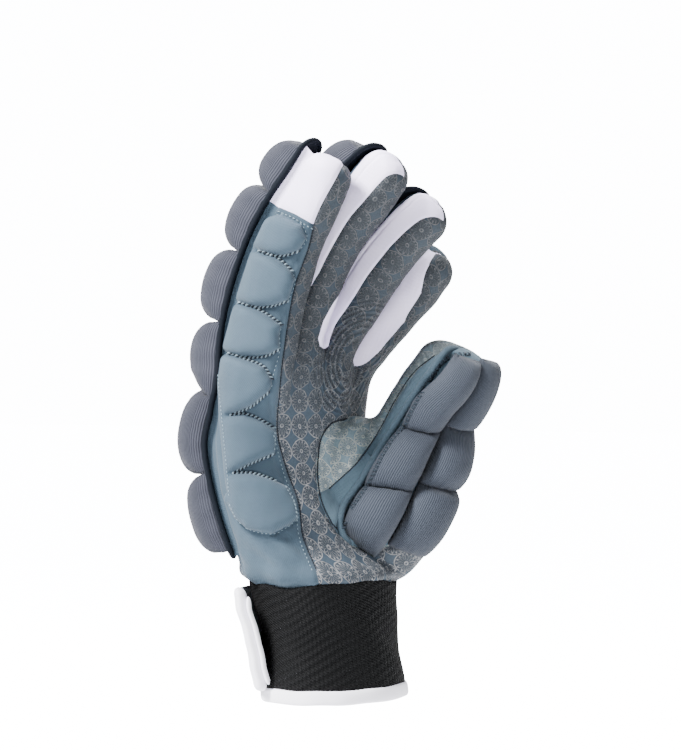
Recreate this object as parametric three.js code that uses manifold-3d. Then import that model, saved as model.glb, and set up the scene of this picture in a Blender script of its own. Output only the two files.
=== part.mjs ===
// Field hockey glove for a right hand, shown as worn: the hand itself is left out.
// Millimetres. The origin is the centre of the wrist opening, level with the cuff's lower edge.
// +Z points to the fingertips, the palm faces -Y, the thumb is on the +X side.
import * as THREE from 'three';
import Module from 'manifold-3d';

const wasm = await Module();
wasm.setup();

// Driving dimensions

const WALL = 2.0;             // lined cloth of the hand, with its thin foam backing
const GAP = 0.3;              // clearance that neighbouring pieces keep
const PRINT_GAP = 0.35;       // further clearance of the thumb's pads from its cloth
const CLOTH_EXPONENT = 2.5;   // squareness of the hand's sections
const RING_POINTS = 12;       // corners round a finger
const LINING_POINTS = 8;      // corners round the hollow in a finger
const PALM_POINTS = 18;       // corners round the palm
const TIP_LENGTH = 8;         // rounded end of a finger
const CUFF_WALL = 2.0;        // knitted cuff
const CUFF_TOP = 43.6;
const HAND_BOTTOM = 44.0;     // where the hand is sewn to the cuff
const BINDING_HEIGHT = 3.5;   // bound lower edge of the cuff
const BINDING_PROUD = 0.5;
const PLATE_THICK = 2.0;      // dark backing sheet under the back pads
const PAD_HEIGHT = 11.0;      // back pads above the backing, over the hand
const FINGER_PAD_HEIGHT = 13.2;
const TIP_PAD_DROP = 2.2;     // how much lower the pads end at the fingertips
const PAD_WEB = 1.3;          // thickness left in the notch between two pads
const PAD_HALF_WIDTH = 8.9;
const THUMB_PAD_HEIGHT = 8.6; // inner column of the thumb
const THUMB_EDGE = -72;       // degrees round the thumb to the far edge of its plain cloth
const SIDE_LUMP_PROUD = 4.2;  // foam pads of the little-finger side above their cloth

const COLOURS = {
  palm: 0x6c757c,
  back: 0x74899a,
  side: 0x7f95a3,
  gusset: 0xefedf6,
  backing: 0x1b2a3a,
  pads: 0x6f7d8c,
  thumbPads: 0x65788a,
  thumbMesh: 0x85918f,
  thumbCloth: 0x6d8696,
  cuff: 0x17181c,
  flap: 0x151d2b,
};

// Palm and back of the hand: level sections, z | centre x, y | half width, half depth | exponent
const PALM = [
  [44, 1.0, 6.0, 33.0, 25.0, 2.2],
  [52, 0.5, 9.8, 35.0, 22.0, 2.3],
  [60, 0.0, 13.2, 36.0, 19.6, 2.4],
  [72, 0.0, 17.0, 37.0, 19.0, 2.5],
  [85, 0.0, 20.5, 38.0, 18.0, 2.5],
  [98, 0.0, 22.0, 38.0, 18.0, 2.5],
  [107, 0.5, 21.0, 38.0, 16.0, 2.5],
  [118, 1.0, 19.0, 37.5, 13.8, 2.5],
  [126, 1.5, 17.5, 35.0, 11.5, 2.5],
  [131, 2.0, 16.5, 31.0, 8.0, 2.5],
  [133, 2.0, 16.5, 25.0, 4.5, 2.5],
];

// Fingers: centre x, y, z | half width | half depth, from inside the palm to the tip
const FINGERS = {
  little_finger: [
    [-27.0, 19.5, 99.0, 6.5, 8.0],
    [-28.0, 17.2, 109.0, 8.4, 10.6],
    [-28.2, 15.2, 119.0, 9.4, 12.6],
    [-27.0, 13.8, 131.8, 9.4, 13.4],
    [-25.5, 10.8, 148.5, 9.3, 13.3],
    [-24.2, 7.2, 160.2, 9.3, 12.8],
    [-22.8, 2.5, 172.4, 9.2, 12.0],
    [-21.5, -3.6, 182.9, 9.0, 11.0],
    [-20.2, -9.0, 192.3, 8.8, 9.8],
    [-19.0, -12.9, 200.6, 8.6, 8.6],
  ],
  ring_finger: [
    [-9.0, 17.5, 112.0, 9.3, 11.5],
    [-6.5, 12.9, 139.5, 9.3, 11.3],
    [-5.0, 9.2, 150.1, 9.2, 11.0],
    [-3.2, 3.2, 163.8, 9.1, 10.6],
    [-1.5, -5.6, 177.1, 9.0, 10.2],
    [0.2, -14.0, 187.0, 8.9, 10.0],
    [1.8, -20.5, 195.0, 8.7, 9.4],
    [3.0, -26.4, 200.4, 8.4, 8.6],
  ],
  middle_finger: [
    [9.5, 18.5, 111.2, 9.3, 11.5],
    [12.0, 14.0, 128.4, 9.3, 11.3],
    [13.8, 8.3, 139.8, 9.2, 11.0],
    [15.3, 1.9, 148.5, 9.2, 10.8],
    [17.2, -6.0, 160.2, 9.1, 10.6],
    [19.2, -15.6, 171.0, 9.0, 10.2],
    [21.0, -23.9, 178.7, 8.8, 9.8],
    [22.5, -32.3, 184.1, 8.4, 8.6],
  ],
  index_finger: [
    [28.5, 20.5, 105.0, 9.3, 11.5],
    [31.0, 19.0, 119.6, 9.3, 11.3],
    [32.5, 15.2, 127.4, 9.2, 11.0],
    [33.8, 10.0, 133.5, 9.2, 10.8],
    [35.2, 3.5, 140.5, 9.1, 10.6],
    [36.5, -2.2, 146.6, 9.0, 10.3],
    [38.0, -8.6, 152.7, 8.9, 10.0],
    [39.8, -15.7, 161.1, 8.7, 9.5],
    [41.5, -22.3, 166.3, 8.4, 8.6],
  ],
};

// Thumb: centre x, y, z | half width | half depth | turn of its back from the way that the side
// panel looks, in degrees | degrees round it that each column of pads covers | reach of its
// plain cloth, in degrees | height of the outer column's pads
const THUMB = [
  [15.0, -0.5, 47.0, 11.0, 8.5, 8, 60, 100, 4.6],
  [19.6, -5.6, 56.0, 16.0, 12.2, 10, 62, 100, 4.8],
  [23.6, -9.2, 66.0, 18.4, 14.4, 12, 62, 98, 5.4],
  [29.7, -11.4, 80.4, 18.2, 14.8, 17, 60, 92, 7.8],
  [34.5, -14.8, 95.8, 16.0, 13.8, 22, 57, 84, 8.2],
  [37.2, -20.6, 109.3, 13.9, 12.2, 28, 56, 79, 6.2],
  [38.9, -27.4, 119.6, 12.8, 11.2, 34, 55, 78, 4.8],
  [40.3, -32.0, 131.0, 11.8, 10.2, 38, 54, 78, 4.6],
];

// Mound at the thumb's root: z | centre x, y | half width, half depth
const MOUND = [
  [54, 18.0, 2.0, 9.0, 7.0],
  [60, 17.0, 2.0, 12.0, 8.4],
  [67, 16.0, 2.2, 14.4, 9.4],
  [76, 15.5, 2.8, 16.6, 10.4],
  [88, 16.0, 3.4, 17.0, 10.6],
  [97, 18.5, 4.2, 15.0, 9.6],
  [104, 21.5, 4.8, 12.6, 8.0],
];

// White gussets on the little-finger side of each finger, with their place along the finger
// (0 base, 1 tip), inner reach past the finger's middle, reach to the palm and to the back
const GUSSETS = {
  ring_finger: [
    [0.20, -2.0, 2.2, 2.5],
    [0.28, -2.0, 3.6, 4.0],
    [0.50, -2.0, 4.4, 5.0],
    [0.72, -1.5, 5.2, 5.6],
    [0.90, -0.5, 6.4, 6.4],
    [1.05, 2.5, 6.6, 9.0],
  ],
  middle_finger: [
    [0.17, -2.0, 2.6, 2.6],
    [0.25, -2.0, 4.6, 4.4],
    [0.50, -2.0, 4.9, 5.2],
    [0.75, -1.5, 5.0, 5.6],
    [0.92, 0.0, 5.6, 6.6],
    [1.05, 3.0, 6.4, 9.0],
  ],
  index_finger: [
    [0.20, -2.0, 4.0, 2.6],
    [0.28, -1.5, 9.6, 4.6],
    [0.45, -1.5, 10.4, 5.4],
    [0.65, -1.5, 10.0, 5.6],
    [0.80, -1.5, 8.2, 5.6],
    [0.93, -1.5, 4.6, 4.6],
    [0.97, -1.5, 2.0, 2.6],
  ],
};

// Side panel: z | x of its seam to the palm | y of its seam to the back
const SIDE_SEAMS = [
  [30, -24.0, 16.0],
  [45, -25.5, 18.5],
  [60, -26.5, 22.0],
  [72, -27.0, 25.5],
  [85, -28.5, 28.0],
  [98, -31.0, 28.6],
  [116, -30.5, 27.2],
  [131, -28.8, 25.4],
  [142, -27.5, 22.6],
  [155, -26.2, 19.2],
  [171, -24.3, 12.6],
  [180, -23.4, 7.2],
  [190, -21.5, 0.6],
  [199, -19.3, -4.8],
  [212, -17.0, -9.0],
];
const SIDE_END = new THREE.Vector3(-21.7, 1.5, 178.0);     // where the side panel stops
const SIDE_END_NORMAL = new THREE.Vector3(0.1, -0.5, 0.86);

// Foam pads sewn into the side panel: z of the middle | half length | half width |
// offset along the way that runs from the back to the palm
const SIDE_LUMPS = [
  [173.8, 8.6, 8.6, -1.2],
  [157.6, 10.4, 9.8, -1.6],
  [138.4, 10.2, 9.6, -2.0],
  [117.3, 11.6, 9.8, -3.4],
  [94.8, 11.4, 9.9, -3.0],
  [72.4, 12.2, 12.2, -1.0],
];
const SIDE_OUT = new THREE.Vector3(-0.8192, -0.5736, 0);   // way that the side panel looks
const SIDE_ACROSS = new THREE.Vector3(0.5736, -0.8192, 0);
const SIDE_FINGER_FROM = 124;  // level above which the side panel lies on the little finger
const SIDE_CORNER = 14;        // rounding of the palm's edge under the side panel

// Backing over the back of the hand: z | half width
const BACKING_HAND = [
  [53.5, 33.0],
  [66, 35.0],
  [80, 36.0],
  [96, 36.6],
  [108, 36.8],
];

// Where each finger's backing ends: place along the finger, shift to the side, half width there
const STRIP_END = {
  little_finger: [1.02, -3.4, 5.2],
  ring_finger: [0.975, -1.5, 6.4],
  middle_finger: [0.955, -0.5, 7.0],
  index_finger: [0.90, 0.5, 7.0],
};

// Roll of each finger's backing about the finger, in degrees, outward on the two outer fingers
const STRIP_ROLL = {
  little_finger: 13,
  ring_finger: 4,
  middle_finger: -4,
  index_finger: -13,
};

// Notches between the back pads, as places along each column (0 at the wrist, 1 at the tip)
const PAD_NOTCHES = {
  little_finger: [0.015, 0.195, 0.375, 0.54, 0.70, 0.852, 0.978],
  ring_finger: [0.015, 0.19, 0.365, 0.53, 0.69, 0.838, 0.97],
  middle_finger: [0.015, 0.20, 0.385, 0.545, 0.69, 0.83, 0.965],
  index_finger: [0.015, 0.225, 0.43, 0.61, 0.78, 0.945],
};

// Thumb pads: heights of the notches at the thumb's centre line, bottom to top
const THUMB_NOTCHES = {
  inner: [52.5, 74.0, 100.5, 127.0],
  outer: [59.0, 84.0, 109.0, 130.5],
};

// Cuff: z | centre x, y | half width, half depth
const CUFF = [
  [0, 0.0, 0.0, 31.2, 24.2],
  [3.6, 0.0, 0.2, 31.0, 24.0],
  [14, 0.0, 1.2, 30.0, 23.2],
  [25, 0.2, 2.6, 29.2, 22.6],
  [35, 0.6, 4.4, 30.6, 23.6],
  [43.6, 1.0, 5.9, 32.4, 24.6],
];
const CUFF_EXPONENT = 2.1;

// Closure flap round the back of the cuff: z | stand-off of its free edge from the knit
const FLAP = [
  [4.2, 1.6],
  [14, 4.2],
  [26, 6.6],
  [35, 7.4],
  [41.5, 6.4],
];
const FLAP_THICK = 1.8;
const FLAP_FREE_ANGLE = 163;    // degrees round the cuff of the free, bound edge
const FLAP_SEWN_ANGLE = 62;     // degrees round the cuff of the sewn edge
const FLAP_BINDING_ANGLE = 8;   // degrees that the binding covers

// Geometry helpers

const V = (x, y, z) => new THREE.Vector3(x, y, z);
const sgnPow = (value, power) => Math.sign(value) * Math.abs(value) ** power;

function tableAt(rows, key, column) {
  if (key <= rows[0][0]) return rows[0][column];
  for (let i = 1; i < rows.length; i++) {
    if (key <= rows[i][0]) {
      const t = (key - rows[i - 1][0]) / (rows[i][0] - rows[i - 1][0]);
      return rows[i - 1][column] * (1 - t) + rows[i][column] * t;
    }
  }
  return rows[rows.length - 1][column];
}

// Solid from rings of points, each ring with the same number of corners
function loft(rings) {
  const n = rings[0].length;
  const points = [];
  for (const ring of rings) {
    for (const p of ring) points.push(p.x, p.y, p.z);
  }
  const faces = [];
  for (let i = 0; i + 1 < rings.length; i++) {
    for (let j = 0; j < n; j++) {
      const a = i * n + j;
      const b = i * n + (j + 1) % n;
      faces.push(a, b, b + n, a, b + n, a + n);
    }
  }
  for (const [first, flip] of [[0, true], [(rings.length - 1) * n, false]]) {
    const middle = V(0, 0, 0);
    for (let j = 0; j < n; j++) {
      middle.add(V(...points.slice(3 * (first + j), 3 * (first + j) + 3)));
    }
    middle.multiplyScalar(1 / n);
    const c = points.length / 3;
    points.push(middle.x, middle.y, middle.z);
    for (let j = 0; j < n; j++) {
      const a = first + j;
      const b = first + (j + 1) % n;
      if (flip) faces.push(c, b, a);
      else faces.push(c, a, b);
    }
  }
  return solidFrom(points, faces);
}

// Signed volume decides which way the faces are wound
function solidFrom(points, faces) {
  let volume = 0;
  for (let i = 0; i < faces.length; i += 3) {
    const [a, b, c] = [0, 1, 2].map((k) => V(...points.slice(3 * faces[i + k], 3 * faces[i + k] + 3)));
    volume += a.dot(b.cross(c));
  }
  const wound = volume > 0 ? faces : faces.slice().reverse();
  return new wasm.Manifold(new wasm.Mesh({
    numProp: 3,
    vertProperties: new Float32Array(points),
    triVerts: new Uint32Array(wound),
  }));
}

const join = (solids) => solids.reduce((sum, solid) => sum.add(solid));
const cut = (solid, ...tools) => tools.reduce((rest, tool) => rest.subtract(tool), solid);

// Keeps the largest body, for a cut that leaves a sliver behind
function largest(solid) {
  const bodies = solid.decompose();
  return bodies.reduce((best, body) => (body.volume() > best.volume() ? body : best));
}

// Frame along a centre line: place, way along, way across, way out of the hand's back
function frameAlong(rows, facingAt) {
  const places = rows.map((row) => V(row[0], row[1], row[2]));
  const curve = new THREE.CatmullRomCurve3(places, false, 'centripetal');
  curve.arcLengthDivisions = 400;
  const lengths = curve.getLengths(400);
  const total = lengths[400];
  const own = rows.map((row, i) => lengths[Math.round(400 * i / (rows.length - 1))] / total);
  const value = (s, column) => tableAt(rows.map((row, i) => [own[i], row[column]]), s, 1);
  return (s) => {
    const inside = Math.min(Math.max(s, 0), 1);
    const centre = curve.getPointAt(inside);
    const along = curve.getTangentAt(inside);
    centre.addScaledVector(along, (s - inside) * total);
    const facing = facingAt(inside, value);
    const out = facing.clone().addScaledVector(along, -facing.dot(along)).normalize();
    const across = out.clone().cross(along).normalize();
    const column = (k) => value(inside, k);
    return { centre, along, out, across, a: column(3), b: column(4), column, total };
  };
}

// Place along a frame's centre line where it is nearest to a level
function placeAt(frame, z) {
  let best = 0;
  for (let i = 0; i <= 300; i++) {
    const nearer = Math.abs(frame(i / 300).centre.z - z) < Math.abs(frame(best).centre.z - z);
    if (nearer) best = i / 300;
  }
  return best;
}

// Distance from the centre of a section to its edge, along a way given by its sine and cosine
function radiusAt(f, sin, cos) {
  const sum = (Math.abs(sin) / f.a) ** CLOTH_EXPONENT + (Math.abs(cos) / f.b) ** CLOTH_EXPONENT;
  return 1 / sum ** (1 / CLOTH_EXPONENT);
}

function sectionPoint(f, u, v) {
  return f.centre.clone().addScaledVector(f.across, u).addScaledVector(f.out, v);
}

// Closed round-ended tube about a centre line; grow widens it, tip shortens its end
function tube(frame, from, grow, tipBack, tipLength, corners, steps = 6) {
  const total = frame(0).total;
  const end = 1 - tipBack / total;
  const stations = [];
  const body = 1 - (tipLength + tipBack) / total;
  for (let i = 0; i <= steps; i++) {
    stations.push([from + (body - from) * i / steps, 1]);
  }
  for (const back of [0.5, 0.15, 0]) {
    const scale = (1 - (1 - back) ** 2.6) ** (1 / 2.6);
    stations.push([end - back * tipLength / total, Math.max(scale, 0.36)]);
  }
  const rings = stations.map(([s, scale]) => {
    const f = frame(s);
    const ring = [];
    for (let j = 0; j < corners; j++) {
      const angle = 2 * Math.PI * j / corners;
      const u = (f.a + grow) * scale * sgnPow(Math.cos(angle), 2 / CLOTH_EXPONENT);
      const v = (f.b + grow) * scale * sgnPow(Math.sin(angle), 2 / CLOTH_EXPONENT);
      ring.push(sectionPoint(f, u, v));
    }
    return ring;
  });
  return loft(rings);
}

function levelRing(z, cx, cy, a, b, exponent, n) {
  const ring = [];
  for (let j = 0; j < n; j++) {
    const angle = 2 * Math.PI * j / n;
    const x = cx + a * sgnPow(Math.cos(angle), 2 / exponent);
    const y = cy + b * sgnPow(Math.sin(angle), 2 / exponent);
    ring.push(V(x, y, z));
  }
  return ring;
}

function palmSolid(grow, bottom, topDrop) {
  const rows = PALM.map((row) => row.slice());
  rows[0][0] = bottom;
  return loft(rows.map(([z, cx, cy, a, b, exponent], i) => {
    const level = i === 0 ? z : z - topDrop * Math.max(0, (z - 98) / 35);
    return levelRing(level, cx, cy, a + grow, Math.max(b + grow, 1.5), exponent, PALM_POINTS);
  }));
}

// Solid whose level sections are four-cornered, from rows of corner lists
function levelWedge(rows) {
  return loft(rows.map(([z, corners]) => corners.map(([x, y]) => V(x, y, z))));
}

function boxSolid(low, high) {
  const size = high.clone().sub(low);
  const box = new THREE.BoxGeometry(size.x, size.y, size.z);
  const mid = low.clone().add(high).multiplyScalar(0.5);
  return fromGeometry(box, new THREE.Matrix4().setPosition(mid));
}

// Merges equal corners of a three.js geometry and makes it a solid
function fromGeometry(geometry, matrix) {
  const position = geometry.attributes.position;
  const keys = new Map();
  const points = [];
  const remap = [];
  for (let i = 0; i < position.count; i++) {
    const p = V(position.getX(i), position.getY(i), position.getZ(i));
    const key = [p.x, p.y, p.z].map((c) => Math.round(c * 1e5)).join();
    if (!keys.has(key)) {
      keys.set(key, points.length / 3);
      p.applyMatrix4(matrix);
      points.push(p.x, p.y, p.z);
    }
    remap.push(keys.get(key));
  }
  const faces = [];
  const index = geometry.index.array;
  for (let i = 0; i < index.length; i += 3) {
    const tri = [remap[index[i]], remap[index[i + 1]], remap[index[i + 2]]];
    if (tri[0] !== tri[1] && tri[1] !== tri[2] && tri[0] !== tri[2]) faces.push(...tri);
  }
  return solidFrom(points, faces);
}

// Hand: outer form, inner hollow and the cloth wall between them

const FRAMES = {};
for (const [name, rows] of Object.entries(FINGERS)) {
  FRAMES[name] = frameAlong(rows, () => V(0, 1, 0));
}
const thumbFrame = frameAlong(THUMB, (s, value) => {
  const turn = THREE.MathUtils.degToRad(value(s, 5));
  return SIDE_OUT.clone().multiplyScalar(Math.cos(turn)).addScaledVector(SIDE_ACROSS, Math.sin(turn));
});

const fingerOuter = {};
const fingerGrown = {};
const fingerInner = {};
for (const [name, frame] of Object.entries(FRAMES)) {
  fingerOuter[name] = tube(frame, 0, 0, 0, TIP_LENGTH, RING_POINTS);
  fingerGrown[name] = tube(frame, 0, GAP, -GAP, TIP_LENGTH, RING_POINTS);
  fingerInner[name] = tube(frame, 0.02, -WALL, WALL, TIP_LENGTH - 1, LINING_POINTS, 5);
}

function mound(grow) {
  return loft(MOUND.map(([z, cx, cy, a, b], i) => {
    const level = i === 0 ? z - grow : i + 1 === MOUND.length ? z + grow : z;
    return levelRing(level, cx, cy, a + grow, b + grow, 2.2, 14);
  }));
}

const thumbOuter = tube(thumbFrame, 0, 0, 0, 10, RING_POINTS + 2).add(mound(0));
const thumbGrown = tube(thumbFrame, -0.005, GAP, -GAP, 10, RING_POINTS + 2).add(mound(GAP));
const thumbInner = tube(thumbFrame, 0.02, -WALL, WALL, 9, LINING_POINTS + 2, 5).add(mound(-WALL));

const palmOuter = palmSolid(0, HAND_BOTTOM, 0);
const palmGrown = palmSolid(GAP, HAND_BOTTOM - 1, -GAP);
const palmInner = palmSolid(-WALL, HAND_BOTTOM - 3, 2);

const hollow = join([palmInner, ...Object.values(fingerInner), thumbInner]);
const handOuter = join([palmOuter, ...Object.values(fingerOuter)]);
const handGrown = join([palmGrown, ...Object.values(fingerGrown)]);
const belowHand = boxSolid(V(-80, -80, -10), V(80, 80, HAND_BOTTOM));
const handWall = cut(handOuter, hollow, belowHand);

// Side panel with its sewn-in foam pads, and the white patch over the little fingertip

function sideRegion(shift) {
  return levelWedge(SIDE_SEAMS.map(([z, x, y]) => [z, [
    [x + shift, -90], [x + shift, y + shift], [-90, y + shift], [-90, -90],
  ]]));
}
function halfSpace(point, normal, shift) {
  const box = new THREE.BoxGeometry(300, 300, 200);
  const turn = new THREE.Quaternion().setFromUnitVectors(V(0, 0, 1), normal.clone().normalize());
  const centre = point.clone().addScaledVector(normal.clone().normalize(), shift - 100);
  return fromGeometry(box, new THREE.Matrix4().compose(centre, turn, V(1, 1, 1)));
}
const littleFrame = FRAMES.little_finger;
const sideBelow = halfSpace(SIDE_END, SIDE_END_NORMAL, -GAP / 2);
const sideBelowWide = halfSpace(SIDE_END, SIDE_END_NORMAL, GAP / 2);


// Place on the cloth under a foam pad: on the little finger above, on the edge of the palm below
function surfaceUnder(z) {
  if (z > SIDE_FINGER_FROM) {
    const f = littleFrame(placeAt(littleFrame, z));
    const [sin, cos] = [SIDE_OUT.x, SIDE_OUT.y];
    const radius = radiusAt(f, sin, cos);
    return { centre: sectionPoint(f, radius * sin, radius * cos), up: f.along };
  }
  const [cx, cy, a, b] = [1, 2, 3, 4].map((column) => tableAt(PALM, z, column));
  const corner = V(cx - a + SIDE_CORNER, cy - (b - SIDE_CORNER) * 0.2, z);
  return { centre: corner.addScaledVector(SIDE_OUT, SIDE_CORNER - 0.8), up: V(0, 0, 1) };
}
const lumps = SIDE_LUMPS.map(([z, halfLength, halfWidth, offset]) => {
  const { centre, up } = surfaceUnder(z);
  const ball = new THREE.SphereGeometry(1, 10, 6);
  const corner = ball.attributes.position;
  for (let i = 0; i < corner.count; i++) {
    const [x, y, w] = [corner.getX(i), corner.getY(i), corner.getZ(i)].map((c) => sgnPow(c, 0.72));
    corner.setXYZ(i, x, y, w);
  }
  const alongPanel = up.clone().addScaledVector(SIDE_OUT, -up.dot(SIDE_OUT)).normalize();
  const acrossPanel = alongPanel.clone().cross(SIDE_OUT).normalize();
  if (acrossPanel.dot(SIDE_ACROSS) < 0) acrossPanel.negate();
  const place = centre.clone().addScaledVector(acrossPanel, offset).addScaledVector(SIDE_OUT, -2.0);
  const basis = new THREE.Matrix4().makeBasis(
    acrossPanel.clone().multiplyScalar(halfWidth),
    alongPanel.clone().multiplyScalar(halfLength),
    acrossPanel.clone().cross(alongPanel).multiplyScalar(SIDE_LUMP_PROUD + 2.0),
  ).setPosition(place);
  return fromGeometry(ball, basis);
});

const sideSource = cut(join([palmOuter, fingerOuter.little_finger, ...lumps]), hollow, belowHand);
const sidePanel = largest(sideSource.intersect(sideRegion(-GAP / 2)).intersect(sideBelow));
const tipPatchSource = cut(fingerOuter.little_finger, hollow);
const littleGusset = largest(cut(tipPatchSource.intersect(sideRegion(-GAP / 2)), sideBelowWide));
const sideCutter = sideRegion(GAP / 2);

// White gussets of the other three fingers

function gussetRegion(name, grow) {
  const frame = FRAMES[name];
  const rows = GUSSETS[name];
  return loft(rows.map(([s, reach, toPalm, toBack], i) => {
    const shift = i === 0 ? -grow : i === rows.length - 1 ? grow : 0;
    const f = frame(s + shift / frame(0).total);
    const far = -(f.a + 3);
    return [
      sectionPoint(f, far, -toPalm - grow),
      sectionPoint(f, reach + grow, -toPalm - grow),
      sectionPoint(f, reach + grow, toBack + grow),
      sectionPoint(f, far, toBack + grow),
    ];
  }));
}
const gussets = {};
const gussetCutters = [];
for (const name of Object.keys(GUSSETS)) {
  const wall = cut(fingerOuter[name], hollow);
  gussets[name] = largest(wall.intersect(gussetRegion(name, 0)));
  gussetCutters.push(fingerGrown[name].intersect(gussetRegion(name, GAP)));
}

// Palm and back halves of the cloth, parted along the middle of each finger

const PARTING_LEVELS = [30, 60, 100, 118, 131, 145, 160, 175, 190, 215];
const NAMES = Object.keys(FINGERS);
function backRegion(shift) {
  const grid = PARTING_LEVELS.map((z) => {
    const row = NAMES.map((name) => {
      const frame = FRAMES[name];
      const past = z - frame(1).centre.z;
      const f = frame(past > 0 ? 1 + past / frame(0).total : placeAt(frame, z));
      const y = z < 112 ? tableAt(PALM, z, 2) + 1 : f.centre.y;
      return V(f.centre.x, y + shift, z);
    });
    return [V(-75, row[0].y, z), ...row, V(75, row[3].y, z)];
  });
  const points = [];
  const wide = grid[0].length;
  for (const p of grid.flat()) points.push(p.x, p.y, p.z);
  const far = points.length / 3;
  for (const p of grid.flat()) points.push(p.x, 160, p.z);
  const faces = [];
  const quad = (a, b, c, d) => faces.push(a, b, c, a, c, d);
  for (let i = 0; i + 1 < grid.length; i++) {
    for (let j = 0; j + 1 < wide; j++) {
      const a = i * wide + j;
      quad(a, a + 1, a + 1 + wide, a + wide);
      quad(far + a, far + a + wide, far + a + 1 + wide, far + a + 1);
    }
    const left = i * wide;
    const right = left + wide - 1;
    quad(left, left + wide, far + left + wide, far + left);
    quad(right, far + right, far + right + wide, right + wide);
  }
  const top = (grid.length - 1) * wide;
  for (let j = 0; j + 1 < wide; j++) {
    quad(j, far + j, far + j + 1, j + 1);
    quad(top + j, top + j + 1, far + top + j + 1, far + top + j);
  }
  return solidFrom(points, faces);
}
const handRest = cut(handWall, sideCutter, ...gussetCutters, thumbGrown);
const backPanel = largest(handRest.intersect(backRegion(GAP / 2)));
const palmPanel = largest(cut(handRest, backRegion(-GAP / 2)));

// Thumb: printed cloth on its inner side, plain cloth with the pads on its back

// Pads of one column: places between each two notches with the share of the full height there
const ACROSS_STEPS = [-1, -0.8, -0.3, 0.3, 0.8, 1];
function padStations(marks) {
  const stations = [[marks[0], 0]];
  for (let i = 0; i + 1 < marks.length; i++) {
    for (const u of [-0.8, -0.3, 0.3, 0.8, 1]) {
      const s = marks[i] + (marks[i + 1] - marks[i]) * (u + 1) / 2;
      stations.push([s, (1 - Math.abs(u) ** 2.6) ** 0.45]);
    }
  }
  return stations;
}
const padDome = (v) => (1 - Math.abs(v) ** 2.8) ** 0.5;

function thumbSector(wider) {
  const rings = [];
  for (let i = 0; i <= 8; i++) {
    const f = thumbFrame(-0.05 + 1.2 * i / 8);
    const ring = [sectionPoint(f, 0, -2 - 0.4 * wider)];
    const [low, high] = [THUMB_EDGE - wider, f.column(7) + wider];
    const reach = 30 - 14 * THREE.MathUtils.smoothstep(f.centre.z, 66, 82);
    const far = Math.max(f.a + 1.5, reach) + 0.4 * wider;
    for (let k = 0; k <= 4; k++) {
      const angle = THREE.MathUtils.degToRad(low + (high - low) * k / 4);
      ring.push(sectionPoint(f, far * Math.sin(angle), far * Math.cos(angle)));
    }
    rings.push(ring);
  }
  return loft(rings);
}
const thumbWall = cut(thumbOuter, hollow, belowHand);
const thumbCloth = largest(thumbWall.intersect(thumbSector(0)));
const thumbMesh = largest(cut(thumbWall, thumbSector(1)));

function thumbPads(side, notches) {
  const rings = padStations(notches.map((z) => placeAt(thumbFrame, z))).map(([s, bulge]) => {
    const f = thumbFrame(s);
    const height = side > 0 ? THUMB_PAD_HEIGHT : f.column(8);
    const inner = [];
    const outer = [];
    for (const v of ACROSS_STEPS) {
      const angle = THREE.MathUtils.degToRad(side * (1 + (f.column(6) - 2) * (v + 1) / 2));
      const [sin, cos] = [Math.sin(angle), Math.cos(angle)];
      const r = radiusAt(f, sin, cos) + GAP + PRINT_GAP;
      const h = PAD_WEB + height * padDome(v) * bulge;
      inner.push(sectionPoint(f, r * sin, r * cos));
      outer.push(sectionPoint(f, (r + h) * sin, (r + h) * cos));
    }
    return [...inner, ...outer.reverse()];
  });
  return loft(rings);
}
const aroundThumb = join([handGrown, mound(GAP)]);
const thumbInnerPads = largest(cut(thumbPads(1, THUMB_NOTCHES.inner), aroundThumb));
const thumbOuterPads = largest(cut(thumbPads(-1, THUMB_NOTCHES.outer), aroundThumb));

// Backing sheet and pads over the back: strips follow the hand, then each finger

function dorsalY(x, z) {
  const [cx, cy, a, b, e] = [1, 2, 3, 4, 5].map((column) => tableAt(PALM, z, column));
  const side = Math.min(Math.abs((x - cx) / a), 0.985);
  return cy + b * (1 - side ** e) ** (1 / e);
}
function stripRows(k) {
  const rows = [];
  const end = STRIP_END[NAMES[k]];
  for (const [z, half] of BACKING_HAND) {
    const edge = (i) => {
      const x = half * (i - 2) / 2;
      return V(x, dorsalY(x * 0.955, z) + 0.9, z);
    };
    const left = edge(k);
    const right = edge(k + 1);
    const across = right.clone().sub(left);
    const halfWidth = across.length() / 2;
    across.normalize();
    const middle = left.clone().add(right).multiplyScalar(0.5);
    rows.push({ middle, across, half: halfWidth + 0.5 });
  }
  const frame = FRAMES[NAMES[k]];
  const start = k === 3 ? 0.24 : 0.17;
  for (let i = 0; i <= 7; i++) {
    const s = start + (end[0] - start) * i / 7;
    const f = frame(s);
    const near = Math.max(0, (i - 5) / 2);
    const middle = sectionPoint(f, end[1] * near, f.b + 0.6 - 0.8 * near);
    const roll = THREE.MathUtils.degToRad(STRIP_ROLL[NAMES[k]]) * (1 - 0.4 * i / 7);
    const across = f.across.clone().multiplyScalar(Math.cos(roll)).addScaledVector(f.out, Math.sin(roll));
    rows.push({ middle, across, half: 9.3 - (9.3 - end[2]) * near });
  }
  return rows;
}
function stripFrame(k) {
  const rows = stripRows(k);
  const curve = new THREE.CatmullRomCurve3(rows.map((row) => row.middle), false, 'centripetal');
  curve.arcLengthDivisions = 400;
  const lengths = curve.getLengths(400);
  const total = lengths[400];
  const own = rows.map((row, i) => lengths[Math.round(400 * i / (rows.length - 1))] / total);
  const blend = (s, get) => tableAt(rows.map((row, i) => [own[i], get(row)]), s, 1);
  return (s) => {
    const middle = curve.getPointAt(s);
    const along = curve.getTangentAt(s);
    const across = V(
      blend(s, (row) => row.across.x),
      blend(s, (row) => row.across.y),
      blend(s, (row) => row.across.z),
    );
    across.addScaledVector(along, -across.dot(along)).normalize();
    const out = along.clone().cross(across).normalize();
    return { centre: middle, across, out, half: blend(s, (row) => row.half) };
  };
}
const strips = NAMES.map((name, k) => stripFrame(k));
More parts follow.
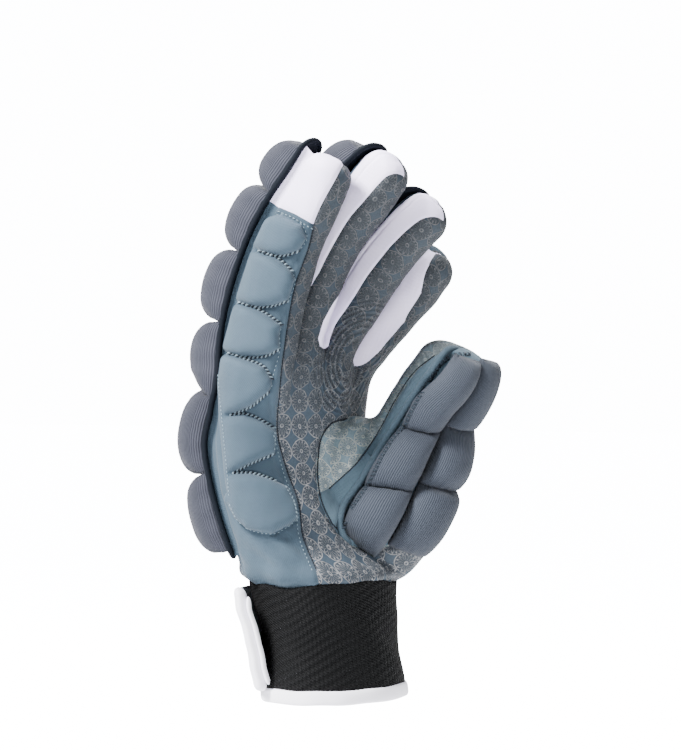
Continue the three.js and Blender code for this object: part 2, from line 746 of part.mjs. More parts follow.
function plateStrip(strip, wider, low, high) {
  const rings = [];
  for (let i = 0; i <= 12; i++) {
    const f = strip(i / 12);
    rings.push([
      sectionPoint(f, -f.half - wider, low),
      sectionPoint(f, f.half + wider, low),
      sectionPoint(f, f.half + wider, high),
      sectionPoint(f, -f.half - wider, high),
    ]);
  }
  return loft(rings);
}
const backingPlate = join(strips.map((strip) => plateStrip(strip, 0, 0, PLATE_THICK)));
const backing = largest(cut(backingPlate, handGrown, thumbGrown));

const backingCutter = join(strips.map((strip) => plateStrip(strip, 0.2, -1.2, PLATE_THICK + GAP)));

// Pads stand taller over the fingers than over the hand, and lower again at the fingertip
function padHeight(s) {
  const overFinger = THREE.MathUtils.smoothstep(s, 0.3, 0.5);
  const nearTip = THREE.MathUtils.smoothstep(s, 0.84, 1);
  return PAD_HEIGHT + (FINGER_PAD_HEIGHT - PAD_HEIGHT) * overFinger - TIP_PAD_DROP * nearTip;
}
function padColumn(k) {
  const base = PLATE_THICK + GAP + 0.15;
  const rings = padStations(PAD_NOTCHES[NAMES[k]]).map(([s, bulge]) => {
    const f = strips[k](s);
    const half = Math.min(PAD_HALF_WIDTH, f.half - 0.7) * (0.93 + 0.07 * bulge);
    const rise = (padHeight(s) - PAD_WEB) * bulge;
    const top = ACROSS_STEPS.map((v) => sectionPoint(f, v * half, base + PAD_WEB + rise * padDome(v)));
    return [sectionPoint(f, half, base), sectionPoint(f, -half, base), ...top];
  });
  return cut(loft(rings), backingCutter);
}
const padColumns = [];
for (let k = 0; k < NAMES.length; k++) {
  const earlier = padColumns.slice(-1);
  padColumns.push(largest(cut(padColumn(k), ...earlier)));
}

// Cuff, its bound edge and the closure flap

function cuffTube(from, to, grow, wall) {
  const levels = CUFF.map((row) => row[0]).filter((z) => z > from + 0.5 && z < to - 0.5);
  const make = (extra, over) => loft([from - over, ...levels, to + over].map((z) => {
    const [cx, cy, a, b] = [1, 2, 3, 4].map((column) => tableAt(CUFF, z, column));
    return levelRing(z, cx, cy, a + extra, b + extra, CUFF_EXPONENT, 24);
  }));
  return cut(make(grow, 0), make(grow - wall, 2));
}
const cuff = cuffTube(BINDING_HEIGHT + GAP, CUFF_TOP, 0, CUFF_WALL);
const cuffBinding = cuffTube(0, BINDING_HEIGHT, BINDING_PROUD, CUFF_WALL + BINDING_PROUD);

function flapPiece(fromDegrees, toDegrees, thick, low, high, raise) {
  const rings = [];
  const steps = Math.max(2, Math.round((toDegrees - fromDegrees) / 12));
  for (let i = 0; i <= steps; i++) {
    const degrees = fromDegrees + (toDegrees - fromDegrees) * i / steps;
    const angle = THREE.MathUtils.degToRad(degrees);
    const lift = Math.max(0, (degrees - 105) / (FLAP_FREE_ANGLE - 105)) ** 1.7;
    const inner = [];
    const outer = [];
    for (let j = 0; j <= 4; j++) {
      const z = low + (high - low) * j / 4;
      const [cx, cy, a, b] = [1, 2, 3, 4].map((column) => tableAt(CUFF, z, column));
      const off = 0.5 + raise + tableAt(FLAP, z, 1) * lift;
      const make = (extra) => V(
        cx + (a + off + extra) * sgnPow(Math.cos(angle), 2 / CUFF_EXPONENT),
        cy + (b + off + extra) * sgnPow(Math.sin(angle), 2 / CUFF_EXPONENT),
        z,
      );
      inner.push(make(0));
      outer.push(make(thick));
    }
    rings.push([...inner, ...outer.reverse()]);
  }
  return loft(rings);
}
const bindingStart = FLAP_FREE_ANGLE - FLAP_BINDING_ANGLE;
const flap = flapPiece(FLAP_SEWN_ANGLE, bindingStart - 0.7, FLAP_THICK, 4.4, 41.5, 0.3);
const flapBinding = flapPiece(bindingStart, FLAP_FREE_ANGLE, FLAP_THICK + 1.2, 4.2, 42.6, -0.1);

// Scene graph

function mesh(name, solid, colour, roughness = 0.9) {
  const data = solid.getMesh();
  const geometry = new THREE.BufferGeometry();
  const points = new Float32Array(data.numVert * 3);
  for (let i = 0; i < data.numVert; i++) {
    for (let k = 0; k < 3; k++) points[3 * i + k] = data.vertProperties[data.numProp * i + k];
  }
  geometry.setAttribute('position', new THREE.BufferAttribute(points, 3));
  geometry.setIndex(new THREE.BufferAttribute(new Uint32Array(data.triVerts), 1));
  const material = new THREE.MeshStandardMaterial({ color: colour, roughness, metalness: 0 });
  const made = new THREE.Mesh(geometry, material);
  made.name = name;
  return made;
}

const glove = new THREE.Group();
glove.name = 'field_hockey_glove';

const hand = new THREE.Group();
hand.add(mesh('palm_panel', palmPanel, COLOURS.palm));
hand.add(mesh('back_panel', backPanel, COLOURS.back));
hand.add(mesh('side_panel', sidePanel, COLOURS.side));
hand.add(mesh('little_finger_gusset', littleGusset, COLOURS.gusset));
hand.add(mesh('ring_finger_gusset', gussets.ring_finger, COLOURS.gusset));
hand.add(mesh('middle_finger_gusset', gussets.middle_finger, COLOURS.gusset));
hand.add(mesh('index_finger_gusset', gussets.index_finger, COLOURS.gusset));
glove.add(hand);

const thumb = new THREE.Group();
thumb.add(mesh('thumb_mesh', thumbMesh, COLOURS.thumbMesh));
thumb.add(mesh('thumb_back', thumbCloth, COLOURS.thumbCloth));
thumb.add(mesh('thumb_inner_pads', thumbInnerPads, COLOURS.thumbPads));
thumb.add(mesh('thumb_outer_pads', thumbOuterPads, COLOURS.thumbPads));
glove.add(thumb);

const back = new THREE.Group();
back.add(mesh('back_backing', backing, COLOURS.backing));
NAMES.forEach((name, k) => back.add(mesh(`${name}_pads`, padColumns[k], COLOURS.pads)));
glove.add(back);

const wrist = new THREE.Group();
wrist.add(mesh('wrist_cuff', cuff, COLOURS.cuff, 0.95));
wrist.add(mesh('cuff_binding', cuffBinding, COLOURS.gusset));
wrist.add(mesh('closure_flap', flap, COLOURS.flap, 0.95));
wrist.add(mesh('flap_binding', flapBinding, COLOURS.gusset));
glove.add(wrist);

export default glove;
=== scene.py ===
# %% [markdown]
# # A padded field hockey glove for a right hand
# The glove is shown as worn: cloth panels follow a curled hand, foam pads stand in columns over
# its back and thumb, and a knitted cuff with a closure flap holds it at the wrist. The packed
# model gives every piece its place. Here each piece gets its real surface: one skin for the
# hand that is cut into sewn panels, pillows for the pads, real ribs for the knit, and threads.

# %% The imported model
import bpy
import numpy as np
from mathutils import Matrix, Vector
from mathutils.bvhtree import BVHTree


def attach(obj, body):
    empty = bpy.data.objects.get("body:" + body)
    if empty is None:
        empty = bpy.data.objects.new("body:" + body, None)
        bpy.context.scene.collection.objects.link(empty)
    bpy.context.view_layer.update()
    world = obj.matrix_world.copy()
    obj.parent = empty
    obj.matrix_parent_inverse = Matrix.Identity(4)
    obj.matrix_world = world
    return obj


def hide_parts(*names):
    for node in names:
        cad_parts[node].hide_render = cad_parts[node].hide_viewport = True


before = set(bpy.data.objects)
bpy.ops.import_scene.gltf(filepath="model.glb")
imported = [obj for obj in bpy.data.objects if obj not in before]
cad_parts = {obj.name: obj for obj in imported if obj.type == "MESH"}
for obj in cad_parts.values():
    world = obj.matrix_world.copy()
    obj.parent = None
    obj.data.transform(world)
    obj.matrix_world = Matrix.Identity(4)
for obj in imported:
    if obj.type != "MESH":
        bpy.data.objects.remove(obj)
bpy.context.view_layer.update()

scene = bpy.context.scene

# %% [markdown]
# ## Camera, floor and light
# The picture looks level at the little-finger side of the palm, so the camera stands a metre
# off, 55 degrees round from the palm, with a long lens that keeps the fingers' true lengths.
# A pale floor lies well below the cuff, and large soft lights leave no hard shadow.

# %% Camera and studio
SIDE = np.array([-0.8192, -0.5736, 0.0])     # from the glove to the camera
ACROSS = np.array([0.5736, -0.8192, 0.0])    # to the right in the picture
UP = np.array([0.0, 0.0, 1.0])
AIM_ACROSS, AIM_UP = 2.06, 120.75            # middle of the picture, in mm
AWAY = 1000.0                                # mm from the glove to the camera
VIEW_HEIGHT, SENSOR = 281.25, 36             # mm of height that fill the sensor, and its mm
AIM = ACROSS * AIM_ACROSS + UP * AIM_UP
EYE = AIM + SIDE * AWAY

camera_data = bpy.data.cameras.new("camera")
camera_data.lens = SENSOR * AWAY / VIEW_HEIGHT
camera_data.sensor_width = SENSOR
camera = bpy.data.objects.new("camera", camera_data)
camera.location = (EYE / 1000).tolist()
camera.rotation_euler = Vector((-SIDE).tolist()).to_track_quat("-Z", "Y").to_euler()
scene.collection.objects.link(camera)
scene.camera = camera


def linear(colour):
    """sRGB hex to linear RGBA: c / 12.92 for a dark channel c, else ((c + 0.055) / 1.055) ** 2.4."""
    c = np.array([int(colour[i:i + 2], 16) for i in (1, 3, 5)]) / 255
    c = np.where(c <= 0.04045, c / 12.92, ((c + 0.055) / 1.055) ** 2.4)
    return (*c.tolist(), 1.0)


def add(tree, kind, settings=None, inputs=None, out=0):
    """Adds a node and gives its output `out`, or all of them for None. Settings are a dict, or one
    word for the operation. Inputs are numbers, colours or sockets to link, in a dict by socket or
    in a list from the first socket on."""
    made = tree.nodes.new("ShaderNode" + kind)
    settings = {"operation": settings} if isinstance(settings, str) else settings or {}
    for name, value in settings.items():
        setattr(made, name, value)
    inputs = inputs if isinstance(inputs, dict) else dict(enumerate(inputs or []))
    for name, value in inputs.items():
        if isinstance(value, bpy.types.NodeSocket):
            tree.links.new(value, made.inputs[name])
        else:
            made.inputs[name].default_value = value
    return made.outputs if out is None else made.outputs[out]


PALE = "#f6f8fc"
SEEN = 16.0                                  # strength at which the camera sees plain white


def white_to_camera(tree, light):
    """Strength that is `light` for the glove and SEEN for the camera."""
    seen = add(tree, "LightPath", out="Is Camera Ray")
    return add(tree, "MapRange", None, {"Value": seen, "To Min": light, "To Max": SEEN})


world = bpy.data.worlds.new("studio")
world.use_nodes = True
backdrop = world.node_tree.nodes["Background"]
backdrop.inputs["Color"].default_value = linear(PALE)
world.node_tree.links.new(white_to_camera(world.node_tree, 0.58), backdrop.inputs["Strength"])
scene.world = world

LIGHTS = [
    # name, place in metres (towards the camera, across, up), size in metres, watts
    ("key", (0.55, -0.75, 1.05), 0.38, 96.0),
    ("fill", (0.85, 0.90, 0.10), 0.9, 4.5),
    ("top", (-0.15, -0.05, 1.25), 0.5, 40.0),
    ("back", (-0.95, 0.35, 0.60), 0.9, 10.0),
]
for name, (near, across, up), size, watts in LIGHTS:
    data = bpy.data.lights.new(name, "AREA")
    data.size = size
    data.energy = watts
    lamp = bpy.data.objects.new(name, data)
    place = SIDE * near + ACROSS * across + UP * up
    lamp.location = place.tolist()
    lamp.rotation_euler = Vector((UP * 0.1 - place).tolist()).to_track_quat("-Z", "Y").to_euler()
    scene.collection.objects.link(lamp)

# %% [markdown]
# ## Getting numpy arrays into Blender
# Every surface below is worked out in millimetres as one array of points and one of faces.
# One function turns them into a mesh in metres, with its own UV map in millimetres where cloth
# needs one.

# %% Mesh maker
MM = 0.001


def piece(name, points, faces, material, slot, uv=None, node=None):
    """Object from points in mm and faces of 3 or 4 corners; uv holds one pair for each corner, and
    node names the solid that it replaces."""
    points = np.asarray(points, float)
    faces = np.asarray(faces, np.int32)
    mesh = bpy.data.meshes.new(name)
    mesh.vertices.add(len(points))
    mesh.vertices.foreach_set("co", (points * MM).ravel())
    mesh.loops.add(faces.size)
    mesh.loops.foreach_set("vertex_index", faces.ravel())
    mesh.polygons.add(len(faces))
    mesh.polygons.foreach_set("loop_start", np.arange(len(faces), dtype=np.int32) * faces.shape[1])
    if uv is not None:
        layer = mesh.uv_layers.new(name="cloth")
        layer.data.foreach_set("uv", np.asarray(uv, float).ravel())
    mesh.update(calc_edges=True)
    mesh.validate()
    mesh.polygons.foreach_set("use_smooth", np.ones(len(mesh.polygons), bool))
    mesh.materials.append(material)
    made = bpy.data.objects.new(name, mesh)
    scene.collection.objects.link(made)
    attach(made, "root")
    if node:
        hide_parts(node)
    return made


def grid_faces(rows, columns, closed=True):
    """Quads of a grid of rows by columns points; closed joins the last column to the first."""
    i = np.arange(rows - 1)[:, None]
    j = np.arange(columns if closed else columns - 1)[None, :]
    a = i * columns + j
    b = i * columns + (j + 1) % columns
    return np.stack([a, b, b + columns, a + columns], -1).reshape(-1, 4)


def hermite(knots, rows, at):
    """Smooth table: between two rows a cubic whose slope at each row is the mean slope round it."""
    knots = np.asarray(knots, float)
    rows = np.asarray(rows, float)
    at = np.clip(at, knots[0], knots[-1])
    slope = np.gradient(rows, knots, axis=0)
    i = np.clip(np.searchsorted(knots, at, side="right") - 1, 0, len(knots) - 2)
    step = (knots[i + 1] - knots[i])[:, None]
    x = (at - knots[i])[:, None] / step
    start = (1 + 2 * x) * (1 - x) ** 2 * rows[i] + x * (1 - x) ** 2 * step * slope[i]
    return start + x * x * (3 - 2 * x) * rows[i + 1] + x * x * (x - 1) * step * slope[i + 1]


def travelled(path):
    """mm along a path to each of its points."""
    return np.concatenate([[0], np.cumsum(np.linalg.norm(np.diff(path, axis=0), axis=1))])


def evenly(rows, fine, count):
    """Even places along the smooth curve through the rows, and the rows' values there. The first
    three columns are the place, and the length is measured on `fine` points."""
    rows = np.asarray(rows, float)
    knots = travelled(rows[:, :3])
    dense = hermite(knots, rows, np.linspace(0, knots[-1], fine))
    arc = travelled(dense[:, :3])
    even = np.linspace(0, arc[-1], count)
    return even, np.stack([np.interp(even, arc, column) for column in dense.T], 1)


def ring(sides):
    """Even angles round a whole turn."""
    return 2 * np.pi * np.arange(sides) / sides


def powered(wave, power):
    """A sine or cosine bent into a superellipse's: its sign times its size to a power."""
    return np.sign(wave) * np.abs(wave) ** power


def drawn_in(grid):
    """Rings of a tube with one more at each end, drawn in to a hundredth, so that it is closed."""
    start, end = grid[:1].mean(1, keepdims=True), grid[-1:].mean(1, keepdims=True)
    return np.concatenate([start + 0.01 * (grid[:1] - start), grid, end + 0.01 * (grid[-1:] - end)])


def unit(v):
    """Each vector of the last axis at length one."""
    return v / np.maximum(np.linalg.norm(v, axis=-1, keepdims=True), 1e-9)


def ramp(value, low, high):
    """0 below low, 1 above high, and 3x^2 - 2x^3 between them."""
    x = np.clip((value - low) / (high - low), 0, 1)
    return x * x * (3 - 2 * x)


# %% [markdown]
# ## The hand's skin as a distance field
# Cloth on a hand is one smooth surface: fingers run into the palm with no edge. It could be
# modelled by joining tubes with booleans, but that leaves hard creases. Here each finger is a
# tube about a centre line, and a field tells how far a point lies outside it. A smooth minimum
# of the fields joins the tubes as skin does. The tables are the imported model's own sizes.

# %% Sizes of palm, fingers and thumb
PALM = np.array([
    # z | centre x, y | half width, half depth | squareness
    [36, 0.7, 4.6, 29.6, 21.8, 2.2],
    [42.6, 0.9, 5.8, 30.2, 22.4, 2.2],
    [45.2, 0.9, 6.8, 33.4, 25.0, 2.25],
    [52, 0.5, 9.8, 35.0, 22.2, 2.3],
    [60, 0.0, 13.2, 36.0, 19.6, 2.4],
    [72, 0.0, 17.0, 37.0, 19.0, 2.5],
    [85, 0.0, 20.5, 38.0, 18.0, 2.5],
    [98, 0.0, 22.0, 38.0, 18.0, 2.5],
    [107, 0.5, 21.0, 38.0, 16.0, 2.5],
    [118, 1.0, 19.0, 37.5, 13.8, 2.5],
    [134, 2.0, 16.5, 36.0, 13.0, 2.5],
])
# centre x, y, z | half width | half depth, from inside the palm to the tip
FINGERS = {
    "little_finger": [
        [-27.0, 19.5, 99.0, 6.5, 8.0], [-28.0, 17.2, 109.0, 8.4, 10.6],
        [-28.2, 15.2, 119.0, 9.4, 12.6], [-27.0, 13.8, 131.8, 9.4, 13.4],
        [-25.5, 10.8, 148.5, 9.3, 13.3], [-24.2, 7.2, 160.2, 9.3, 12.8],
        [-22.8, 2.5, 172.4, 9.2, 12.0], [-21.5, -3.6, 182.9, 9.0, 11.0],
        [-20.2, -9.0, 192.3, 8.8, 9.8], [-19.0, -12.9, 200.6, 8.6, 8.6],
    ],
    "ring_finger": [
        [-9.0, 17.5, 112.0, 9.3, 11.5], [-6.5, 12.9, 139.5, 9.3, 11.3],
        [-5.0, 9.2, 150.1, 9.2, 11.0], [-3.2, 3.2, 163.8, 9.1, 10.6],
        [-1.5, -5.6, 177.1, 9.0, 10.2], [0.2, -14.0, 187.0, 8.9, 10.0],
        [1.8, -20.5, 195.0, 8.7, 9.4], [3.0, -26.4, 200.4, 8.4, 8.6],
    ],
    "middle_finger": [
        [9.5, 18.5, 111.2, 9.3, 11.5], [12.0, 14.0, 128.4, 9.3, 11.3],
        [13.8, 8.3, 139.8, 9.2, 11.0], [15.3, 1.9, 148.5, 9.2, 10.8],
        [17.2, -6.0, 160.2, 9.1, 10.6], [19.2, -15.6, 171.0, 9.0, 10.2],
        [21.0, -23.9, 178.7, 8.8, 9.8], [22.5, -32.3, 184.1, 8.4, 8.6],
    ],
    "index_finger": [
        [28.5, 20.5, 105.0, 9.3, 11.5], [31.0, 19.0, 119.6, 9.3, 11.3],
        [32.5, 15.2, 127.4, 9.2, 11.0], [33.8, 10.0, 133.5, 9.2, 10.8],
        [35.2, 3.5, 140.5, 9.1, 10.6], [36.5, -2.2, 146.6, 9.0, 10.3],
        [38.0, -8.6, 152.7, 8.9, 10.0], [39.8, -15.7, 161.1, 8.7, 9.5],
        [41.5, -22.3, 166.3, 8.4, 8.6],
    ],
}
# centre x, y, z | half width | half depth | turn of its back, degrees | degrees that each column
# of pads covers | height of the outer column's pads
THUMB = [
    [15.0, -0.5, 47.0, 11.0, 8.5, 8, 60, 4.6],
    [19.6, -5.6, 56.0, 16.0, 12.2, 10, 62, 4.8],
    [23.6, -9.2, 66.0, 18.4, 14.4, 12, 62, 5.4],
    [29.7, -11.4, 80.4, 18.2, 14.8, 17, 60, 7.8],
    [34.5, -14.8, 95.8, 16.0, 13.8, 22, 57, 8.2],
    [37.2, -20.6, 109.3, 13.9, 12.2, 28, 56, 6.2],
    [38.9, -27.4, 119.6, 12.8, 11.2, 34, 55, 4.8],
    [40.3, -32.0, 131.0, 11.8, 10.2, 38, 54, 4.6],
]
# mound at the thumb's root: z | centre x, y | half width, half depth
MOUND = np.array([
    [54, 18.0, 2.0, 9.0, 7.0], [60, 17.0, 2.0, 12.0, 8.4], [67, 16.0, 2.2, 14.4, 9.4],
    [76, 15.5, 2.8, 16.6, 10.4], [88, 16.0, 3.4, 17.0, 10.6], [97, 18.5, 4.2, 15.0, 9.6],
    [104, 21.5, 4.8, 12.6, 8.0],
])
NAMES = list(FINGERS)

# %% [markdown]
# A finger's table becomes a smooth curve with even samples, and each sample has three ways: along
# the finger, out of its back and across. A point beside the finger is then told by how far along,
# across and out it lies, which is all that its distance needs.

# %% Centre lines
LINE_STEPS = 160


def centre_line(rows):
    """Curve through the rows, sampled evenly, with its ways along, out of the back and across. The
    back faces +Y, or by a sixth column the camera, turned by so many degrees."""
    even, table = evenly(rows, 600, LINE_STEPS + 1)
    along = unit(np.gradient(table[:, :3], even, axis=0))
    face = np.array([[0.0, 1.0, 0.0]])
    if table.shape[1] > 5:
        turn = np.radians(table[:, 5:6])
        face = SIDE * np.cos(turn) + ACROSS * np.sin(turn)
    out = unit(face - along * (face * along).sum(1, keepdims=True))
    reach = table[:, 3:5].max() + 9
    return {
        "c": table[:, :3], "t": along, "o": out, "w": np.cross(out, along), "size": table[:, 3:],
        "step": even[1], "length": even[-1],
        "low": table[:, :3].min(0) - reach, "high": table[:, :3].max(0) + reach,
    }


def between(line, keys, k):
    """A line's values at places k, counted in its samples: a mix of the two samples round each."""
    j = np.minimum(k.astype(int), len(line["c"]) - 2)
    f = (k - j)[..., None]
    return [line[key][j] * (1 - f) + line[key][j + 1] * f for key in keys]


def beside(line, p):
    """Each point's place by a centre line: mm along it, mm across and out, and the sizes there."""
    near = line["c"][::4]
    i = np.argmin((near ** 2).sum(1) - 2 * p @ near.T, axis=1) * 4
    along = i * line["step"] + ((p - line["c"][i]) * line["t"][i]).sum(1)
    for _ in range(2):
        k = np.clip(along / line["step"], 0, len(line["c"]) - 1.001)
        c, t, o, w, size = between(line, ("c", "t", "o", "w", "size"), k)
        rest = p - c
        along = k * line["step"] + (rest * t).sum(1)
    return along, (rest * w).sum(1), (rest * o).sum(1), size


def tube_field(line, p, tip):
    """Distance outside a round-ended tube: the length of (across, out, past the end) times
    (g - 1) / g, where g is the superellipse norm of those three over the section's half sizes."""
    found = np.full(len(p), 14.0)
    near = np.all((p > line["low"]) & (p < line["high"]), axis=1)
    if near.any():
        along, u, v, size = beside(line, p[near])
        past = np.maximum(along - (line["length"] - tip), 0)
        before = np.maximum(-along, 0)
        g = np.abs(u / size[:, 0]) ** 2.5 + np.abs(v / size[:, 1]) ** 2.5
        g = np.maximum((g + (past / tip) ** 2.5 + (before / 5) ** 2.5) ** 0.4, 1e-3)
        reach = np.sqrt(u ** 2 + v ** 2 + past ** 2 + before ** 2)
        found[near] = reach * (g - 1) / g
    return found


PALM_AT = hermite(PALM[:, 0], PALM, np.linspace(36, 134, 197))
MOUND_AT = hermite(MOUND[:, 0], MOUND, np.linspace(54, 104, 101))


def table_at(table, z, last=5):
    """Columns 1 up to `last` of a table at heights z."""
    return [np.interp(z, table[:, 0], table[:, k]) for k in range(1, last)]


def section_field(p, table, power, past, end):
    """As for a tube, about the middles of level sections; past is how far a point lies above or
    below them, where they end in a round top `end` mm high."""
    cx, cy, a, b = table_at(table, p[:, 2])
    x, y = p[:, 0] - cx, p[:, 1] - cy
    g = np.abs(x / a) ** power + np.abs(y / b) ** power + (past / end) ** 2.2
    g = np.maximum(g ** (1 / power), 1e-3)
    return np.sqrt(x ** 2 + y ** 2 + past ** 2) * (g - 1) / g


def palm_field(p):
    """Palm, with a round top above z = 118."""
    power = np.interp(p[:, 2], PALM_AT[:, 0], PALM_AT[:, 5])
    return section_field(p, PALM_AT, power, np.maximum(p[:, 2] - 118, 0), 16)


def mound_field(p):
    """Mound at the thumb's root, round above z = 97 and below 60."""
    return section_field(p, MOUND_AT, 2.2, np.maximum(np.maximum(p[:, 2] - 97, 60 - p[:, 2]), 0), 8)


def soft_min(a, b, blend):
    """Smaller of two fields, rounded where they differ by less than the blend width."""
    h = np.clip(0.5 + 0.5 * (b - a) / blend, 0, 1)
    return b * (1 - h) + a * h - blend * h * (1 - h)


LINES = {name: centre_line(rows) for name, rows in FINGERS.items()}
THUMB_LINE = centre_line(THUMB)
FINGER_TIP, THUMB_TIP = 8.0, 10.0            # mm of length in the round tip
# ends of the line beside which the thumb is fuller, how much at most, and how far it reaches, in mm
FULLER = np.array([AIM + ACROSS * x + UP * z - SIDE * 17.4 for x, z in ((18.5, -18.0), (33.0, 8.5))])
FULLER_BY, FULLER_WIDE = 3.8, 9


def hand_field(p):
    """Palm joined with the four fingers."""
    fingers = np.minimum.reduce([tube_field(LINES[name], p, FINGER_TIP) for name in NAMES])
    return soft_min(palm_field(p), fingers, 6.0)


def thumb_field(p):
    """Thumb joined with the mound at its root, and fuller on the side of the fingers: the field
    less 3.8 exp(-(d / 9)^2) at a distance d from a line."""
    way = FULLER[1] - FULLER[0]
    share = np.clip((p - FULLER[0]) @ way / (way @ way), 0, 1)[:, None]
    off = np.linalg.norm(p - FULLER[0] - share * way, axis=1)
    thumb = tube_field(THUMB_LINE, p, THUMB_TIP) - FULLER_BY * np.exp(-(off / FULLER_WIDE) ** 2)
    return soft_min(thumb, mound_field(p), 5.0)


def skin_field(p):
    """The whole hand."""
    return soft_min(hand_field(p), thumb_field(p), 3.0)


def slope_of(field, p, step=0.35):
    """Gradient of a field by central differences."""
    moves = step * np.eye(3)
    return np.stack([field(p + m) - field(p - m) for m in moves], 1) / (2 * step)


def onto(field, p, times=3):
    """Moves points to where the field is zero: each step is -f g / |g|^2 along the gradient g."""
    for _ in range(times):
        g = slope_of(field, p)
        p = p - g * (field(p) / np.maximum((g * g).sum(1), 0.25))[:, None]
    return p


# %% [markdown]
# ## From field to mesh
# Marching cubes leaves thin triangles. A surface net puts one point in each cell that the
# surface crosses, at the mean of the crossings on the cell's edges, and joins the four cells
# round each crossed edge: near-square faces that can be cut and smoothed well.

# %% Surface net
CELL, LINING_CELL = 1.5, 3.0                 # mm
NET_LOW, NET_HIGH = (-44, -48, 38), (56, 44, 210)


def surface_net(field, low, high, cell):
    """Triangles of the zero surface on a grid of the given cell, in mm."""
    axes = [np.arange(low[k], high[k] + cell, cell) for k in range(3)]
    nodes = np.stack(np.meshgrid(*axes, indexing="ij"), -1)
    shape = nodes.shape[:3]
    value = field(nodes.reshape(-1, 3)).reshape(shape)
    inside = value < 0
    total = np.zeros((*[n - 1 for n in shape], 3))
    count = np.zeros([n - 1 for n in shape])
    crossed = []
    for axis in range(3):
        first = [slice(None)] * 3
        second = [slice(None)] * 3
        first[axis] = slice(0, -1)
        second[axis] = slice(1, None)
        first, second = tuple(first), tuple(second)
        cut = inside[first] != inside[second]
        where = np.argwhere(cut)
        f0 = value[first][cut]
        f1 = value[second][cut]
        spot = nodes[first][cut].copy()
        spot[:, axis] += cell * f0 / (f0 - f1)
        b, c = (axis + 1) % 3, (axis + 2) % 3
        beside_axis = where[:, [b, c]]
        fits = np.all((beside_axis > 0) & (beside_axis < np.array(shape)[[b, c]] - 1), axis=1)
        where, spot = where[fits], spot[fits]
        around = []
        for db, dc in ((-1, -1), (0, -1), (0, 0), (-1, 0)):
            at = where.copy()
            at[:, b] += db
            at[:, c] += dc
            np.add.at(total, tuple(at.T), spot)
            np.add.at(count, tuple(at.T), 1)
            around.append(at)
        crossed.append((np.stack(around, 1), inside[first][cut][fits]))
    used = count > 0
    number = np.full(count.shape, -1)
    number[used] = np.arange(used.sum())
    points = total[used] / count[used][:, None]
    quads = []
    for around, outward in crossed:
        quad = number[tuple(np.moveaxis(around, -1, 0))]
        quads.append(np.where(outward[:, None], quad, quad[:, ::-1]))
    quads = np.concatenate(quads)
    return points, np.concatenate([quads[:, [0, 1, 2]], quads[:, [0, 2, 3]]])


def split(points, faces, value):
    """Cuts triangles along value = 0: a corner of its own sign keeps a small triangle, and the
    rest of the face becomes two."""
    sign = value[faces] > 0
    ones = sign.sum(1)
    mixed = (ones == 1) | (ones == 2)
    lone = np.argmax(sign[mixed] == (ones[mixed] == 1)[:, None], axis=1)
    turned = np.take_along_axis(faces[mixed], (lone[:, None] + np.arange(3)) % 3, 1)
    pairs = np.sort(np.concatenate([turned[:, [0, 1]], turned[:, [0, 2]]]), axis=1)
    edges, which = np.unique(pairs, axis=0, return_inverse=True)
    which = which.ravel()
    share = value[edges[:, 0]] / (value[edges[:, 0]] - value[edges[:, 1]])
    new = points[edges[:, 0]] * (1 - share[:, None]) + points[edges[:, 1]] * share[:, None]
    p, q = (which.reshape(2, -1) + len(points))
    a, b, c = turned.T
    made = [faces[~mixed], np.stack([a, p, q], 1), np.stack([p, b, c], 1), np.stack([p, c, q], 1)]
    return np.concatenate([points, new]), np.concatenate(made)


def quarter(points, faces):
    """Each triangle becomes four, through the middles of its edges."""
    pairs = np.sort(faces[:, [0, 1, 1, 2, 2, 0]].reshape(-1, 2), axis=1)
    edges, which = np.unique(pairs, axis=0, return_inverse=True)
    ab, bc, ca = (which.reshape(-1, 3) + len(points)).T
    a, b, c = faces.T
    fours = ((a, ab, ca), (ab, b, bc), (ca, bc, c), (ab, bc, ca))
    made = np.concatenate([np.stack(corners, 1) for corners in fours])
    return np.concatenate([points, points[edges].mean(1)]), made


skin, skin_faces = surface_net(skin_field, NET_LOW, NET_HIGH, CELL)
skin = onto(skin_field, skin, 2)
print("skin:", len(skin), "points,", len(skin_faces), "triangles")

# %% [markdown]
# ## Seams: where one cloth ends and the next begins
# A glove is sewn from panels. Each seam is a second field, in mm, that is zero on the seam and
# has another sign on each side. Cutting the triangles exactly where such a field is zero gives
# clean edges, and the same points serve both panels, so no gap opens between them.

# %% Drawn seams
# z | y of the seam between the side panel and the back
BACK_SEAM = np.array([
    [30, 16.0], [45, 18.5], [60, 22.0], [72, 25.5], [85, 28.0], [98, 28.6], [116, 27.2],
    [131, 25.4], [142, 22.6], [155, 19.2], [171, 12.6], [180, 7.2], [190, 0.6], [199, -4.8],
    [212, -9.0],
])
# seams as the side view shows them, mm across and up: side panel to palm, from the wrist to the
# little fingertip; lower edge of the white patch; edge of the thumb's piece
PALM_SEAM = [
    [-5.0, 36.0], [-7.3, 48.4], [-12.0, 60.4], [-13.5, 72.4], [-18.0, 85.1], [-21.4, 98.2],
    [-20.6, 116.2], [-18.9, 130.9], [-14.6, 154.9], [-9.0, 171.4], [-7.9, 177.0], [3.4, 199.9],
    [6.5, 207.0],
]
PATCH_SEAM = [[-32.0, 187.0], [-21.9, 184.1], [-15.0, 181.1], [-7.9, 177.0], [6.0, 169.0]]
THUMB_EDGE = [
    [4.1, 104.2], [-0.4, 103.1], [-4.5, 98.6], [-6.4, 89.2], [-6.4, 81.0], [-5.3, 74.2],
    [-2.3, 67.1], [1.5, 61.9], [8.0, 56.5], [15.0, 55.0], [24.0, 57.0], [34.0, 59.0],
    [60.0, 63.0], [80.0, 100.0], [80.0, 145.0], [36.0, 140.0], [19.0, 120.0], [13.5, 107.5],
]
